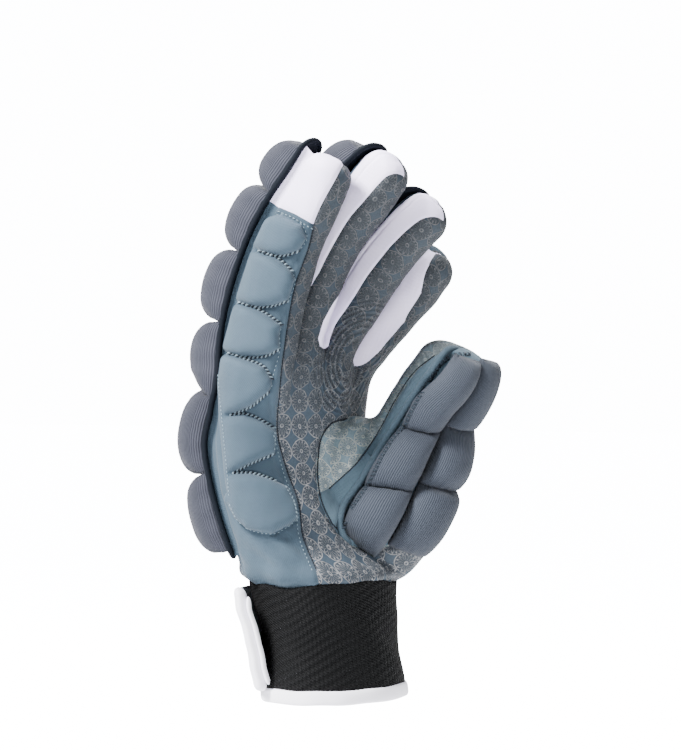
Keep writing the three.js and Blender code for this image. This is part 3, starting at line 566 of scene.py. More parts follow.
# place along the finger (0 to 1) | reach past its middle | reach to the palm and to the back
GUSSETS = {
    "ring_finger": [
        [0.165, -2.0, 0.2, 0.2], [0.175, -2.0, 1.9, 2.0], [0.20, -2.0, 2.8, 2.9],
        [0.28, -2.0, 3.8, 4.2], [0.38, -2.0, 5.2, 4.5], [0.50, -2.0, 6.6, 5.0],
        [0.62, -1.8, 6.2, 5.3], [0.75, -1.5, 5.6, 5.7], [0.90, -0.5, 6.4, 6.4],
        [1.05, 2.5, 6.6, 9.0],
    ],
    "middle_finger": [
        [0.145, -2.0, 0.2, 0.2], [0.155, -2.0, 3.0, 2.4], [0.17, -2.0, 4.2, 3.6],
        [0.25, -2.0, 4.9, 4.4], [0.50, -2.0, 4.7, 5.2], [0.75, -1.5, 4.6, 5.6],
        [0.92, 0.0, 5.2, 6.6], [1.05, 3.0, 6.0, 9.0],
    ],
    "index_finger": [
        [0.185, -1.5, 0.2, 0.2], [0.195, -1.5, 6.0, 2.4], [0.21, -1.5, 8.6, 3.6],
        [0.28, -1.5, 10.0, 4.6], [0.45, -1.5, 10.4, 5.4], [0.65, -1.5, 10.0, 5.6],
        [0.80, -1.5, 8.2, 5.6], [0.93, -1.5, 4.6, 4.6], [0.97, -1.5, 2.0, 2.6],
        [0.985, -1.5, 0.2, 0.2],
    ],
}
# lower end of the white cloth between the ring and middle fingers, mm across and up in the picture
WHITE_TAIL = [
    [2.4, 152.0], [-1.0, 146.9], [-4.1, 140.9], [-6.0, 134.3], [-5.4, 131.4], [-3.9, 130.6],
    [-2.5, 131.6], [-1.7, 135.4], [0.9, 142.1], [5.3, 147.6],
]
# corners of the cloth between two pads of foam, the same way, from the top dart down
DARTS = [
    [[-28.5, 167.2], [-24.8, 165.8], [-19.5, 165.4], [-13.5, 167.2], [-16.1, 159.8],
     [-19.5, 163.1], [-22.9, 165.4]],
    [[-36.0, 147.8], [-29.2, 146.2], [-23.2, 146.6], [-17.6, 148.5], [-19.9, 139.5],
     [-24.8, 143.2], [-29.2, 145.5]],
    [[-40.7, 129.0], [-34.1, 127.5], [-24.8, 128.2], [-20.8, 130.5], [-23.6, 119.2],
     [-26.6, 123.8], [-31.5, 126.0]],
    [[-39.0, 105.8], [-31.5, 108.8], [-24.8, 114.4], [-22.9, 100.9], [-27.0, 103.5],
     [-33.4, 106.1]],
    [[-38.0, 84.0], [-31.5, 87.4], [-22.9, 91.1], [-18.4, 78.8], [-24.8, 82.1], [-31.5, 84.0]],
]
# stitched edge of the foam, from the top down, and its soft left edge, from the bottom up
FOAM_EDGE = [
    [-24.8, 180.0], [-19.9, 181.1], [-12.4, 177.0], [-10.5, 172.1], [-13.5, 167.2], [-16.1, 159.8],
    [-15.0, 156.8], [-17.6, 148.5], [-19.9, 139.5], [-20.8, 136.1], [-20.8, 130.5], [-23.6, 119.2],
    [-23.6, 117.0], [-24.8, 114.4], [-22.9, 100.9], [-22.5, 98.2], [-22.9, 91.1], [-18.4, 78.8],
    [-15.0, 72.0], [-14.2, 66.8], [-16.9, 64.5], [-23.2, 61.1], [-27.4, 61.5], [-32.6, 63.0],
    [-36.8, 66.8], [-39.4, 72.0],
]
FOAM_LEFT = [
    [-40.1, 76.9], [-41.6, 87.0], [-43.1, 103.9], [-43.5, 117.0], [-42.4, 129.0], [-39.0, 142.1],
    [-34.5, 156.4], [-30.4, 169.5], [-26.6, 179.6],
]
# outline of the thumb's plain cloth
BAND_EDGE = [
    [60.0, 129.4], [57.7, 130.9], [50.6, 132.0], [43.1, 130.9], [37.1, 127.9], [30.4, 122.6],
    [22.9, 111.8], [16.5, 99.8], [8.2, 87.8], [-1.9, 78.4], [-8.6, 75.0], [-6.9, 62.6],
    [-0.3, 59.6], [6.4, 57.4], [13.1, 55.8], [19.1, 56.6], [26.2, 57.8], [35.6, 59.6],
    [54.4, 68.4], [67.5, 111.4], [66.4, 129.4],
]

# %% [markdown]
# A seam that the side view shows is looked up where the camera sees the point, so it falls where
# the picture has it. A hidden one follows heights, angles or the fingers' centre lines. Outlines
# give the distance to their edge, with the sign of the even-odd rule.

# %% Seam fields
def smooth_path(points, count):
    """Curve through the points with even steps."""
    return evenly(points, 20 * count, count)[1]


def in_picture(p):
    """mm across and up of points as the camera sees them, in the plane through the wrist."""
    scale = 1 / (1 - (p - AIM) @ SIDE / AWAY)
    across = AIM_ACROSS + ((p - AIM) @ ACROSS) * scale
    return np.stack([across, AIM_UP + (p[:, 2] - AIM_UP) * scale], 1)


def from_path(q, path):
    """Least distance of each point q to the pieces of a path."""
    path = np.asarray(path, float)
    a, d = path[:-1], np.diff(path, axis=0)
    t = ((q[:, None] - a) * d).sum(-1) / np.maximum((d * d).sum(-1), 1e-9)
    return np.linalg.norm(q[:, None] - a - np.clip(t, 0, 1)[..., None] * d, axis=-1).min(1)


def inside(q, corners):
    """Even-odd rule: a point is inside if a line to its right crosses an odd number of edges."""
    corners = np.asarray(corners, float)
    x0, y0 = corners.T
    x1, y1 = np.roll(corners, -1, axis=0).T
    spans = (y0 > q[:, 1:]) != (y1 > q[:, 1:])
    reach = x0 + (q[:, 1:] - y0) / np.where(y1 == y0, 1e-9, y1 - y0) * (x1 - x0)
    return (spans & (q[:, :1] < reach)).sum(1) % 2 == 1


def depth_inside(q, corners):
    """Distance inside a closed outline, less than 0 outside it."""
    return from_path(q, corners + corners[:1]) * np.where(inside(q, corners), 1, -1)


def palm_seam(p):
    """Seam between side panel and palm: mm across that a point lies before the drawn seam."""
    q = in_picture(p)
    return np.interp(q[:, 1], PALM_AT_HEIGHT[:, 1], PALM_AT_HEIGHT[:, 0]) - q[:, 0]


def back_seam(p):
    """Seam between side panel and back: y of the seam less y."""
    return np.interp(p[:, 2], BACK_AT_HEIGHT[:, 0], BACK_AT_HEIGHT[:, 1]) - p[:, 1]


def patch_seam(p):
    """Lower edge of the white patch on the little fingertip: height over the drawn edge."""
    q = in_picture(p)
    return 0.88 * (q[:, 1] - np.interp(q[:, 0], *np.array(PATCH_SEAM).T))


def gusset_seam(name, p):
    """White gusset of a finger: least of the distances inside its reaches, less than 0 outside.
    The middle finger's ends in the drawn tail."""
    line, rows = LINES[name], GUSSET_AT[name]
    along, u, v, _ = beside(line, p)
    reach, palm, back = (np.interp(along / line["length"], rows[:, 0], rows[:, k]) for k in (1, 2, 3))
    found = np.minimum(np.minimum(reach - u, v + palm), back - v)
    found = np.minimum(found, 2.5 - tube_field(line, p, FINGER_TIP))
    if name == "middle_finger":
        near = (p @ SIDE > -14) & (p[:, 2] > 126) & (p[:, 2] < 162) & (parting(p) < 0)
        found[near] = np.maximum(found[near], depth_inside(in_picture(p[near]), WHITE_TAIL))
    return found


def parting(p):
    """Height over the surface that parts palm from back: it runs through the middle of the palm
    below, and through each finger's centre line above."""
    y = None
    for left, right in zip(NAMES, NAMES[1:]):
        lines = LINES[left]["c"], LINES[right]["c"]
        (x0, y0), (x1, y1) = ([np.interp(p[:, 2], c[:, 2], c[:, k]) for k in (0, 1)] for c in lines)
        y = y0 if y is None else y
        y = y + np.clip((p[:, 0] - x0) / (x1 - x0), 0, 1) * (y1 - y0)
    low = np.interp(p[:, 2], PALM_AT[:, 0], PALM_AT[:, 2]) + 1
    return p[:, 1] - (low + (y - low) * ramp(p[:, 2], 104, 120))


def band_seam(p):
    """Edge of the thumb's plain cloth: its outline in the side view, and 118 and -72 degrees round
    the thumb where it turns out of sight; least distance inside, in mm."""
    _, u, v, _ = beside(THUMB_LINE, p)
    angle = np.degrees(np.arctan2(u, v))
    found = np.radians(np.minimum(angle + 72, 118 - angle)) * np.hypot(u, v)
    near = np.linalg.norm(p - [32, -14, 92], axis=1) < 60
    found[near] = np.minimum(found[near], depth_inside(in_picture(p[near]), BAND_EDGE))
    return found


def foam_edge(p):
    """Distance inside the stitched edge of the side panel's foam, less than 0 outside it, and -9
    where the foam is far or only its soft left edge is near."""
    found = np.full(len(p), -9.0)
    near = (p @ SIDE > -14) & (p[:, 0] < -2) & (p[:, 2] > 52) & (p[:, 2] < 190)
    q = in_picture(p[near])
    stitched = np.minimum.reduce([from_path(q, edge) for edge in [FOAM_EDGE] + [d + d[:1] for d in DARTS]])
    within = inside(q, FOAM_EDGE + FOAM_LEFT)
    for dart in DARTS:
        within &= ~inside(q, dart)
    side = np.minimum(palm_seam(p[near]), back_seam(p[near])) + 1
    found[near] = np.where(within, np.minimum(stitched, np.maximum(side, 0.0)), -stitched)
    left = ~within & (from_path(q, FOAM_LEFT) < stitched)
    found[np.flatnonzero(near)[left]] = -9.0
    return found


def thumb_seam(p):
    """Where the thumb's piece meets the palm: the drawn edge where it faces the side view, and
    the place where the two fields are equal behind; blended between 12 and 18 mm of depth."""
    found = hand_field(p) - thumb_field(p)
    near = (p @ SIDE > -18) & (p[:, 2] < 140) & (np.abs(found) < 16)
    drawn = depth_inside(in_picture(p[near]), THUMB_EDGE)
    share = ramp(p[near] @ SIDE, -18, -12)
    found[near] = found[near] * (1 - share) + drawn * share
    return found

# %% [markdown]
# The skin is cut by one field after the other, and then each triangle becomes four, to carry the
# relief. The signs of the fields at a triangle's middle say which panel it belongs to.

# %% Cutting the skin along the seams
PALM_AT_HEIGHT = smooth_path(PALM_SEAM, 300)
BACK_AT_HEIGHT = hermite(BACK_SEAM[:, 0], BACK_SEAM, np.linspace(30, 212, 183))
GUSSET_AT = {name: np.array(rows) for name, rows in GUSSETS.items()}

HEM = 41.0                                   # the skin ends here, inside the cuff
CUTS = [lambda p: HEM - p[:, 2], foam_edge, thumb_seam, palm_seam, back_seam, patch_seam, parting, band_seam]
CUTS += [lambda p, name=name: gusset_seam(name, p) for name in NAMES[1:]]
for cut in CUTS:
    value = cut(skin)
    value[np.abs(value) < 0.02] = 0.02
    skin, skin_faces = split(skin, skin_faces, value)
skin, skin_faces = quarter(skin, skin_faces)
skin_faces = skin_faces[skin[skin_faces].mean(1)[:, 2] > HEM]
middle = skin[skin_faces].mean(1)

PANELS = [
    "palm_panel", "back_panel", "side_panel", "little_finger_gusset", "ring_finger_gusset",
    "middle_finger_gusset", "index_finger_gusset", "thumb_mesh", "thumb_back",
]
label = np.where(parting(middle) > 0, 1, 0)
on_side = (palm_seam(middle) > 0) & (back_seam(middle) > 0)
label[on_side] = np.where(patch_seam(middle[on_side]) > 0, 3, 2)
for number, name in enumerate(NAMES[1:], 4):
    label[gusset_seam(name, middle) > 0] = number
on_thumb = thumb_seam(middle) > 0
label[on_thumb] = np.where(band_seam(middle[on_thumb]) > 0, 8, 7)
print({name: int((label == k).sum()) for k, name in enumerate(PANELS)})

# %% [markdown]
# ## Relief of the cloth
# The little-finger side has foam sewn in behind the cloth: six soft pads, parted by V-shaped
# darts that open towards the palm. In flat terms the relief is a height at each place of the
# side view: it rises over the first few millimetres from a stitched line and levels off, as
# foam does behind a tight seam. Seams press a shallow ditch into the cloth, and small waves
# keep it from looking moulded.

# %% Heights over the skin
FOAM_HIGH = 4.2


def foam_height(p):
    """4.2 mm times sqrt(1 - (1 - d)^2) of the distance d from the stitched lines, as a share of
    4 mm, times the same of the distance from the soft left edge, as a share of 9 mm."""
    found = np.zeros(len(p))
    edge = foam_edge(p)
    near = edge > 0
    d = 1 - np.clip(edge[near] / 4.0, 0, 1)
    left = 1 - np.clip(from_path(in_picture(p[near]), FOAM_LEFT) / 9.0, 0, 1)
    found[near] = FOAM_HIGH * np.sqrt(1 - d ** 2) * np.sqrt(1 - left ** 2)
    return found


# stitched groove between the thumb's lip and its inner pads, mm across and up in the picture
LIP_LINE = [
    [57.7, 127.9], [50.6, 128.9], [43.9, 127.9], [36.4, 118.5], [28.5, 106.5], [18.4, 90.4],
    [9.7, 77.6], [4.1, 69.8], [1.9, 64.1], [3.7, 58.9],
]


def ditch(value, width, depth):
    """Groove along value = 0: -depth * exp(-(value / width)^2)."""
    return -depth * np.exp(-(value / width) ** 2)


def waves(p, length, seed):
    """Sum of six sine waves of random ways, about `length` mm long, between about -1 and 1."""
    rng = np.random.default_rng(seed)
    ways = unit(rng.normal(size=(6, 3))) * (2 * np.pi / length) * rng.uniform(0.7, 1.5, (6, 1))
    return np.sin(p @ ways.T + rng.uniform(0, 6.28, 6)).sum(1) / 3.0


def skin_relief(p):
    """Height over the skin field, in mm: the foam, a ditch along each seam, the lip beside the
    thumb's pads, slack folds just over the cuff, and small waves."""
    thumb = thumb_seam(p)
    hand = thumb < 0
    side = np.minimum(palm_seam(p), back_seam(p))
    q = in_picture(p)
    height = foam_height(p) * hand
    height += ditch(foam_edge(p), 0.8, 0.45) * (side > 0) * hand
    height += ditch(side, 0.9, 0.55) * hand
    height += ditch(patch_seam(p), 0.8, 0.35) * (side > 0) * hand
    height += ditch(parting(p), 0.8, 0.35) * (side < 0) * hand
    height += ditch(thumb, 1.1, 0.9)
    for name in NAMES[1:]:
        value = gusset_seam(name, p)
        height += ditch(value, 0.7, 0.30) * (value > -2.4) * hand
        height -= 0.25 * ramp(value, 0, 2) * hand
    lip = np.full(len(p), 30.0)
    near = ~hand & (p @ SIDE > -6)
    lip[near] = from_path(q[near], LIP_LINE)
    raised = ditch(band_seam(p), 0.8, 0.45) + ditch(lip - 0.4, 1.1, 0.9) - ditch(lip - 3.3, 1.7, 1.0)
    height += raised * ~hand
    slack = np.exp(-((q[:, 0] + 22) / 13) ** 2 - ((q[:, 1] - 54) / 7) ** 2)
    height += 0.6 * slack * np.cos(2 * np.pi * (q @ [0.62, 0.78]) / 6.5) * hand * (side > -2)
    low = np.exp(-((p[:, 2] - 46) / 9) ** 2)
    height += 0.16 * waves(p, 17, 3) + 0.07 * waves(p, 6, 5)
    return height + 0.7 * low * waves(p * [1, 1, 0.35], 15, 8)


def dressed(p):
    """Points near the skin, moved onto it and then out along its normal by the relief."""
    p = onto(skin_field, p, 2)
    return p + unit(slope_of(skin_field, p)) * skin_relief(p)[:, None]


skin = dressed(skin)
print("relief done: highest foam", round(float(foam_height(skin).max()), 1), "mm")


# %% [markdown]
# ## Cloth lengths for prints and ribs
# A print follows the cloth, so its map is in millimetres of cloth: once round the section and
# once along the finger or palm. Each triangle takes the map of the tube that it lies nearest to.

# %% Print maps
PALM_WIDE, PALM_DEEP = 37, 18.5              # mm, half sizes of a section in the middle of the palm
FINGER_SHIFT, THUMB_SHIFT = 3.1, 15.5        # mm by which each tube's print is moved along it


def section_arc(p):
    """mm round the palm's section from the middle of the palm: arc of a superellipse of half sizes
    37 and 18.5, measured on a fine table of its angle."""
    angle = np.linspace(-np.pi, np.pi, 721)
    x = powered(np.sin(angle), 0.8) * PALM_WIDE
    y = -powered(np.cos(angle), 0.8) * PALM_DEEP
    arc = travelled(np.stack([x, y], 1))
    turn = np.arctan2(x / PALM_WIDE, -y / PALM_DEEP)
    cx, cy, a, b = table_at(PALM_AT, p[:, 2])
    own = np.arctan2((p[:, 0] - cx) / a, -(p[:, 1] - cy) / b)
    return np.interp(own, turn, arc - arc[360])


def tube_map(line, corners, thumb):
    """UV in mm round and along a tube for each corner of its triangles. No triangle reaches over
    the cut, and the thumb's faces that the camera sees take the picture's own plane."""
    p = corners.reshape(-1, 3)
    along, u, v, size = beside(line, p)
    mean = size[:, :2].mean(1)
    across = np.arctan2(u, v) * np.maximum(mean, np.hypot(u, v)) if thumb else np.arctan2(u, -v) * mean
    loops = across.reshape(-1, 3)
    span = 2 * np.pi * mean.reshape(-1, 3)
    across = np.where(loops - loops.min(1, keepdims=True) > span / 2, loops - span, loops).ravel()
    found = np.stack([across, along], 1)
    if thumb:
        out = unit(np.cross(corners[:, 1] - corners[:, 0], corners[:, 2] - corners[:, 0]))
        seen = np.stack([p @ ACROSS * 0.87 + p[:, 2] * 0.5, p[:, 2] * 0.87 - p @ ACROSS * 0.5], 1)
        found = np.where(np.repeat(out @ SIDE > 0.5, 3)[:, None], seen, found + [0, THUMB_SHIFT])
    return found


def cloth_map(points, faces):
    """UV of each corner in mm, from the nearest of palm, fingers and thumb at the face's middle."""
    middle = points[faces].mean(1)
    fields = [palm_field(middle) - 1.5] + [tube_field(LINES[n], middle, FINGER_TIP) for n in NAMES]
    nearest = np.stack(fields + [thumb_field(middle)], 1).argmin(1)
    uv = np.zeros((len(faces), 3, 2))
    for k in np.unique(nearest):
        chosen = nearest == k
        corners = points[faces[chosen]]
        if k == 0:
            p = corners.reshape(-1, 3)
            found = np.stack([section_arc(p), p[:, 2]], 1)
        elif k == 5:
            found = tube_map(THUMB_LINE, corners, True)
        else:
            found = tube_map(LINES[NAMES[k - 1]], corners, False) + [0, FINGER_SHIFT * k]
        uv[chosen] = found.reshape(-1, 3, 2)
    return uv.reshape(-1, 2)

# %% [markdown]
# ## Materials
# All patterns are procedural. The sewn cloths read the map "cloth", which is in millimetres, so
# a pitch in the shader is the pitch of the real cloth; the others use object space.

# %% Cloth with a fine weave
def shader(name, colour, roughness, sheen=0.0, specular=0.3):
    """New material with its tree and its Principled node."""
    made = bpy.data.materials.new(name)
    made.use_nodes = True
    base = made.node_tree.nodes["Principled BSDF"]
    base.inputs["Base Color"].default_value = linear(colour)
    base.inputs["Roughness"].default_value = roughness
    base.inputs["Sheen Weight"].default_value = sheen
    base.inputs["Specular IOR Level"].default_value = specular
    made.diffuse_color = linear(colour)
    return made, made.node_tree, base


def sine(tree, value, pitch):
    """sin(2 pi value / pitch) of a socket in mm."""
    return add(tree, "Math", "SINE", [add(tree, "Math", "MULTIPLY", [value, 2 * np.pi / pitch])])


def relief(tree, base, height, strength, depth):
    """Bump of some mm, by a socket from 0 or -1 to 1."""
    bump = add(tree, "Bump", None, {"Strength": strength, "Distance": depth * MM, "Height": height})
    tree.links.new(bump, base.inputs["Normal"])


def two_tone(tree, base, share, dark, light):
    """Base colour from dark to light as the share goes from 0 to 1."""
    inputs = {0: share, 6: linear(dark), 7: linear(light)}
    tree.links.new(add(tree, "Mix", {"data_type": "RGBA"}, inputs, 2), base.inputs["Base Color"])


def woven(name, dark, light, depth=0.10, roughness=0.85, sheen=0.08):
    """Plain weave of 0.7 mm: product of two waves across the map, with cloudy wear over some
    centimetres. Real threads are half as wide and wouldn't show."""
    made, tree, base = shader(name, light, roughness, sheen)
    parts = add(tree, "SeparateXYZ", None, [add(tree, "UVMap", {"uv_map": "cloth"})], None)
    weave = add(tree, "Math", "MULTIPLY", [sine(tree, parts[0], 0.7), sine(tree, parts[1], 0.7)])
    spot = add(tree, "TexCoord", out="Object")
    cloud = add(tree, "TexNoise", None, {"Vector": spot, "Scale": 90.0, "Detail": 6.0})
    two_tone(tree, base, add(tree, "Math", "MULTIPLY_ADD", [weave, 0.18, cloud]), dark, light)
    relief(tree, base, weave, 0.6, depth)
    return made


side_cloth = woven("stretch cloth", "#2b3a46", "#364754")
white_cloth = woven("white stretch cloth", "#ded4f6", "#f1e9ff", 0.08, 0.8, 0.0)
# the thumb's back: the side's stretch cloth painted lighter, as painted light where the pads shade it
thumb_cloth_painted_lighter = woven("thumb stretch cloth with painted light", "#3d505c", "#4b5e6b")
ridge_cloth = woven("rolled thumb cloth", "#30404b", "#3d4e5a")

# %% [markdown]
# The palm and the inner thumb have a grippy print over mesh cloth: rows of touching circles, 9 mm
# apart on the palm and 7 on the thumb, each with a hub and petals like a wheel. With the cell's
# own polar coordinates (r, t), a petal's outline is the curve r = a + b |cos 7t|, and a line is
# drawn where r is near it. Painted shade makes the cloth darker towards the fingers and at the
# wrist. Fine creases ring a place behind the web between thumb and finger: they are bumps, and
# their shade and light are painted into the colour too.

# %% Printed mesh
# middle of the rings of creases, in metres; their pitch, and how far they reach, in mm
WEB = (AIM + ACROSS * 12.5 + UP * 4.0 - SIDE * 6.0) * MM
CREASE, CREASES_FROM, CREASES_TO = 1.8, 16, 30
print("web at", WEB.round(4))
# radius and half width of the lines, as shares of a cell: hub and rim; half width of the petals
HUB, RIM, PETAL_LINE = (0.07, 0.040), (0.478, 0.030), 0.050


def wheels(tree, place, pitch):
    """Two sockets: how near a place is to a wheel's lines, 0 to 1, and its distance from the hub
    as a share of its cell. A slow noise bends the rows by up to a third of a cell."""
    bend = add(tree, "TexNoise", None, {"Vector": place, "Scale": 0.12, "Detail": 2.0}, "Color")
    bend = add(tree, "VectorMath", "SCALE", {0: bend, "Scale": 0.35})
    cell = add(tree, "VectorMath", "SCALE", {0: place, "Scale": 1 / pitch})
    cell = add(tree, "VectorMath", "FRACTION", [add(tree, "VectorMath", "ADD", [cell, bend])])
    parts = add(tree, "SeparateXYZ", None, [cell], None)
    x, y = (add(tree, "Math", "SUBTRACT", [parts[k], 0.5]) for k in (0, 1))
    r = add(tree, "Math", "MULTIPLY_ADD", [x, x, add(tree, "Math", "MULTIPLY", [y, y])])
    r = add(tree, "Math", "SQRT", [r])
    turn = add(tree, "Math", "MULTIPLY", [add(tree, "Math", "ARCTAN2", [y, x]), 7.0])
    petal = add(tree, "Math", "ABSOLUTE", [add(tree, "Math", "COSINE", [turn])])
    petal = add(tree, "Math", "MULTIPLY_ADD", [petal, 0.26, 0.15])
    drawn = 0.0
    for radius, width in ((petal, PETAL_LINE), RIM, HUB):
        off = add(tree, "Math", "ABSOLUTE", [add(tree, "Math", "SUBTRACT", [r, radius])])
        near = add(tree, "MapRange", {"interpolation_type": "SMOOTHSTEP"},
                   {"Value": off, "From Min": width, "From Max": width * 0.4})
        drawn = add(tree, "Math", "MAXIMUM", [drawn, near])
    return drawn, r


def printed(name, pitch, ground, gap, line, worn_share, gathers):
    """Wheels on a square lattice: ground inside the circles, gap between them, and raised lines, with painted
    shade by height and at the wrist, and the creases' painted shade and light.
    """
    made, tree, base = shader(name, ground, 0.7)
    place = add(tree, "UVMap", {"uv_map": "cloth"})
    spot = add(tree, "TexCoord", out="Object")
    up = add(tree, "SeparateXYZ", None, [spot], 2)
    drawn, r = wheels(tree, place, pitch)
    outside = add(tree, "MapRange", None, {"Value": r, "From Min": 0.49, "From Max": 0.52})
    cloud = add(tree, "TexNoise", None, {"Vector": spot, "Scale": 420.0, "Detail": 4.0})
    cloth = add(tree, "Mix", {"data_type": "RGBA"}, {0: outside, 6: linear(ground), 7: linear(gap)}, 2)
    # by height in metres: the print fades, and painted shade darkens the cloth towards the fingers and at the
    # wrist end
    fade, painted_shade_and_mesh_tone, low = (
        add(tree, "MapRange", None,
            {"Value": up, "From Min": below, "From Max": above, "To Min": first, "To Max": second})
        for below, above, first, second in (
            (0.085, 0.125, 1.0, 0.5), (0.100, 0.135, 1.0, 0.47), (0.050, 0.085, 0.76, 1.0)))
    share = add(tree, "Math", "MULTIPLY", [add(tree, "Math", "MULTIPLY", [drawn, cloud]), worn_share * 2])
    share = add(tree, "Math", "MULTIPLY", [share, fade])
    colour = add(tree, "Mix", {"data_type": "RGBA"}, {0: share, 6: cloth, 7: linear(line)}, 2)
    grid = add(tree, "TexVoronoi", None, {"Vector": place, "Scale": 1.4})
    away = add(tree, "VectorMath", "DISTANCE", [spot, WEB.tolist()], "Value")
    # creases ringing the web: bumps, whose shade and light are also painted into the colour below
    ripple = add(tree, "Math", "MULTIPLY", [cloud, 3.0])
    ripple = add(tree, "Math", "MULTIPLY_ADD", [away, 2 * np.pi / (CREASE * MM), ripple])
    around = add(tree, "MapRange", {"interpolation_type": "SMOOTHSTEP"},
                 {"Value": away, "From Min": CREASES_TO * MM, "From Max": CREASES_FROM * MM})
    ripple = add(tree, "Math", "MULTIPLY", [add(tree, "Math", "SINE", [ripple]), around])
    ripple = add(tree, "Math", "MULTIPLY", [ripple, gathers])
    # colour times painted shade by height, painted shade at the wrist (low), the Voronoi cells' tone, and the
    # creases' painted shade and light
    for factor in (low, add(tree, "Math", "MULTIPLY_ADD", [grid, -0.35, 1.12]),
                   add(tree, "Math", "MULTIPLY_ADD", [ripple, 0.30, 1.0])):
        painted_shade_and_mesh_tone = add(tree, "Math", "MULTIPLY", [painted_shade_and_mesh_tone, factor])
    tree.links.new(add(tree, "VectorMath", "SCALE", {0: colour, "Scale": painted_shade_and_mesh_tone}), base.inputs["Base Color"])
    height = add(tree, "Math", "MULTIPLY_ADD", [grid, -0.35, drawn])
    relief(tree, base, add(tree, "Math", "MULTIPLY_ADD", [ripple, 1.3, height]), 0.8, 0.25)
    return made


palm_print = printed("palm mesh with print", 9.0, "#363e46", "#394652", "#8f8f91", 0.80, 1.0)
thumb_print = printed("thumb mesh with print", 7.0, "#6c797f", "#6c7e87", "#b8bdb8", 0.75, 0.35)

# %% [markdown]
# Pads are wrapped in a ribbed stretch cloth: light cords 0.62 mm apart that run along the finger.
# A sine across the map gives both the colour and the relief of the cords. The cuff is a rib knit,
# whose loops show as small slanted crossings, and the other cloths and threads have a fine grain.

# %% Ribbed cloth, backing, knit, threads
def ribbed(name, dark, light):
    """Cords across the first axis of the map: height sin(2 pi u / 0.62), light on top."""
    made, tree, base = shader(name, dark, 0.8, 0.06)
    place = add(tree, "UVMap", {"uv_map": "cloth"})
    parts = add(tree, "SeparateXYZ", None, [place], None)
    wobble = add(tree, "TexNoise", None, {"Vector": place, "Scale": 0.35, "Detail": 2.0})
    cord = sine(tree, add(tree, "Math", "MULTIPLY_ADD", [wobble, 0.3, parts[0]]), 0.62)
    share = add(tree, "MapRange", None, {"Value": cord, "From Min": -0.6, "From Max": 0.9})
    two_tone(tree, base, share, dark, light)
    relief(tree, base, cord, 0.8, 0.10)
    return made


def stitched_knit(name, dark, light):
    """Loops of a rib knit: product of two sines of 1.6 mm, along u + v / 2 and v + u / 2."""
    made, tree, base = shader(name, dark, 0.75, specular=0.12)
    parts = add(tree, "SeparateXYZ", None, [add(tree, "UVMap", {"uv_map": "cloth"})], None)
    slanted = []
    for first, second in ((parts[0], parts[1]), (parts[1], parts[0])):
        half = add(tree, "Math", "MULTIPLY", [second, 0.5])
        slanted.append(sine(tree, add(tree, "Math", "ADD", [first, half]), 1.6))
    loop = add(tree, "Math", "MULTIPLY", slanted)
    share = add(tree, "MapRange", None, {"Value": loop, "From Min": 0.2, "From Max": 1.0})
    two_tone(tree, base, share, dark, light)
    relief(tree, base, loop, 1.0, 0.35)
    return made


def grained(name, colour, grain, depth, roughness=0.75, sheen=0.0, specular=0.3):
    """Even colour with a fine random grain, `grain` mm across."""
    made, tree, base = shader(name, colour, roughness, sheen, specular)
    spot = add(tree, "TexCoord", out="Object")
    noise = add(tree, "TexNoise", None, {"Vector": spot, "Scale": 500.0 / grain, "Detail": 3.0})
    relief(tree, base, noise, 0.7, depth)
    return made


pad_cloth = ribbed("ribbed pad cloth", "#1d202a", "#2e303b")
thumb_pad_cloth = ribbed("ribbed thumb pad cloth", "#212731", "#323842")
knit = stitched_knit("knit of the cuff", "#020203", "#0b0b0d")
backing_cloth = grained("dark backing cloth", "#040911", 0.6, 0.10, specular=0.1)
flap_cloth = grained("flap cloth", "#161e2c", 0.8, 0.12, sheen=0.2)
band_cloth = grained("white binding tape", "#eceaf2", 0.7, 0.10, 0.8, 0.2)
light_thread = grained("light thread", "#6e7f8a", 0.3, 0.05, 0.7)
zigzag_thread = grained("zigzag thread", "#17222c", 0.3, 0.05, 0.7)
dark_thread = grained("dark thread", "#0d151e", 0.3, 0.05, 0.7)
lining_cloth = grained("lining", "#4c5965", 0.9, 0.10, 0.9)

# %% [markdown]
# ## The sewn panels
# Each panel takes its own faces of the shared skin, so neighbours meet exactly. Behind them
# lies one lining, coarser and 1.8 mm further in, so that the glove is a wall with two sides when
# one looks into the wrist.

# %% Panels and lining
WALL = 1.8                                   # mm from the outer cloth to the lining
PANEL_LOOKS = {
    "palm_panel": (palm_print, "palm_mesh"), "back_panel": (side_cloth, "stretch_cloth"),
    "side_panel": (side_cloth, "stretch_cloth"), "thumb_mesh": (thumb_print, "thumb_mesh"),
    "thumb_back": (thumb_cloth_painted_lighter, "stretch_cloth"),
}
skin_map = cloth_map(skin, skin_faces).reshape(-1, 3, 2)
for k, name in enumerate(PANELS):
    used, own = np.unique(skin_faces[label == k], return_inverse=True)
    look, slot = PANEL_LOOKS.get(name, (white_cloth, "white_cloth"))
    piece(name, skin[used], own.reshape(-1, 3), look, slot, skin_map[label == k].reshape(-1, 2), name)

lining, lining_faces = surface_net(lambda p: skin_field(p) + WALL, NET_LOW, NET_HIGH, LINING_CELL)
lining_faces = lining_faces[lining[lining_faces][:, :, 2].min(1) > HEM + 1.5]
piece("lining", lining, lining_faces[:, ::-1], lining_cloth, "stretch_cloth")

# %% [markdown]
# ## Backing and pads over the back
# Four strips of dark cloth run from the wrist to the fingertips, with a rolled edge, and a
# column of foam pads stands on each. They share one frame per strip: a centre line on the back of
# the hand and finger, a way across and a way out. Everything on the strip is then flat work in
# (along, across, out), and bends with the finger by itself.

# %% Strip sizes
BACKING_HAND = [[53.5, 33.0], [66, 35.0], [80, 36.0], [96, 36.6], [108, 36.8]]   # z | half width
# place where the backing ends | shift to the side and half width there | roll in degrees
STRIP_END = {
    "little_finger": (1.02, -3.4, 5.2, 13), "ring_finger": (0.975, -1.5, 6.4, 4),
    "middle_finger": (0.955, -0.5, 7.0, -4), "index_finger": (0.90, 0.5, 7.0, -13),
}
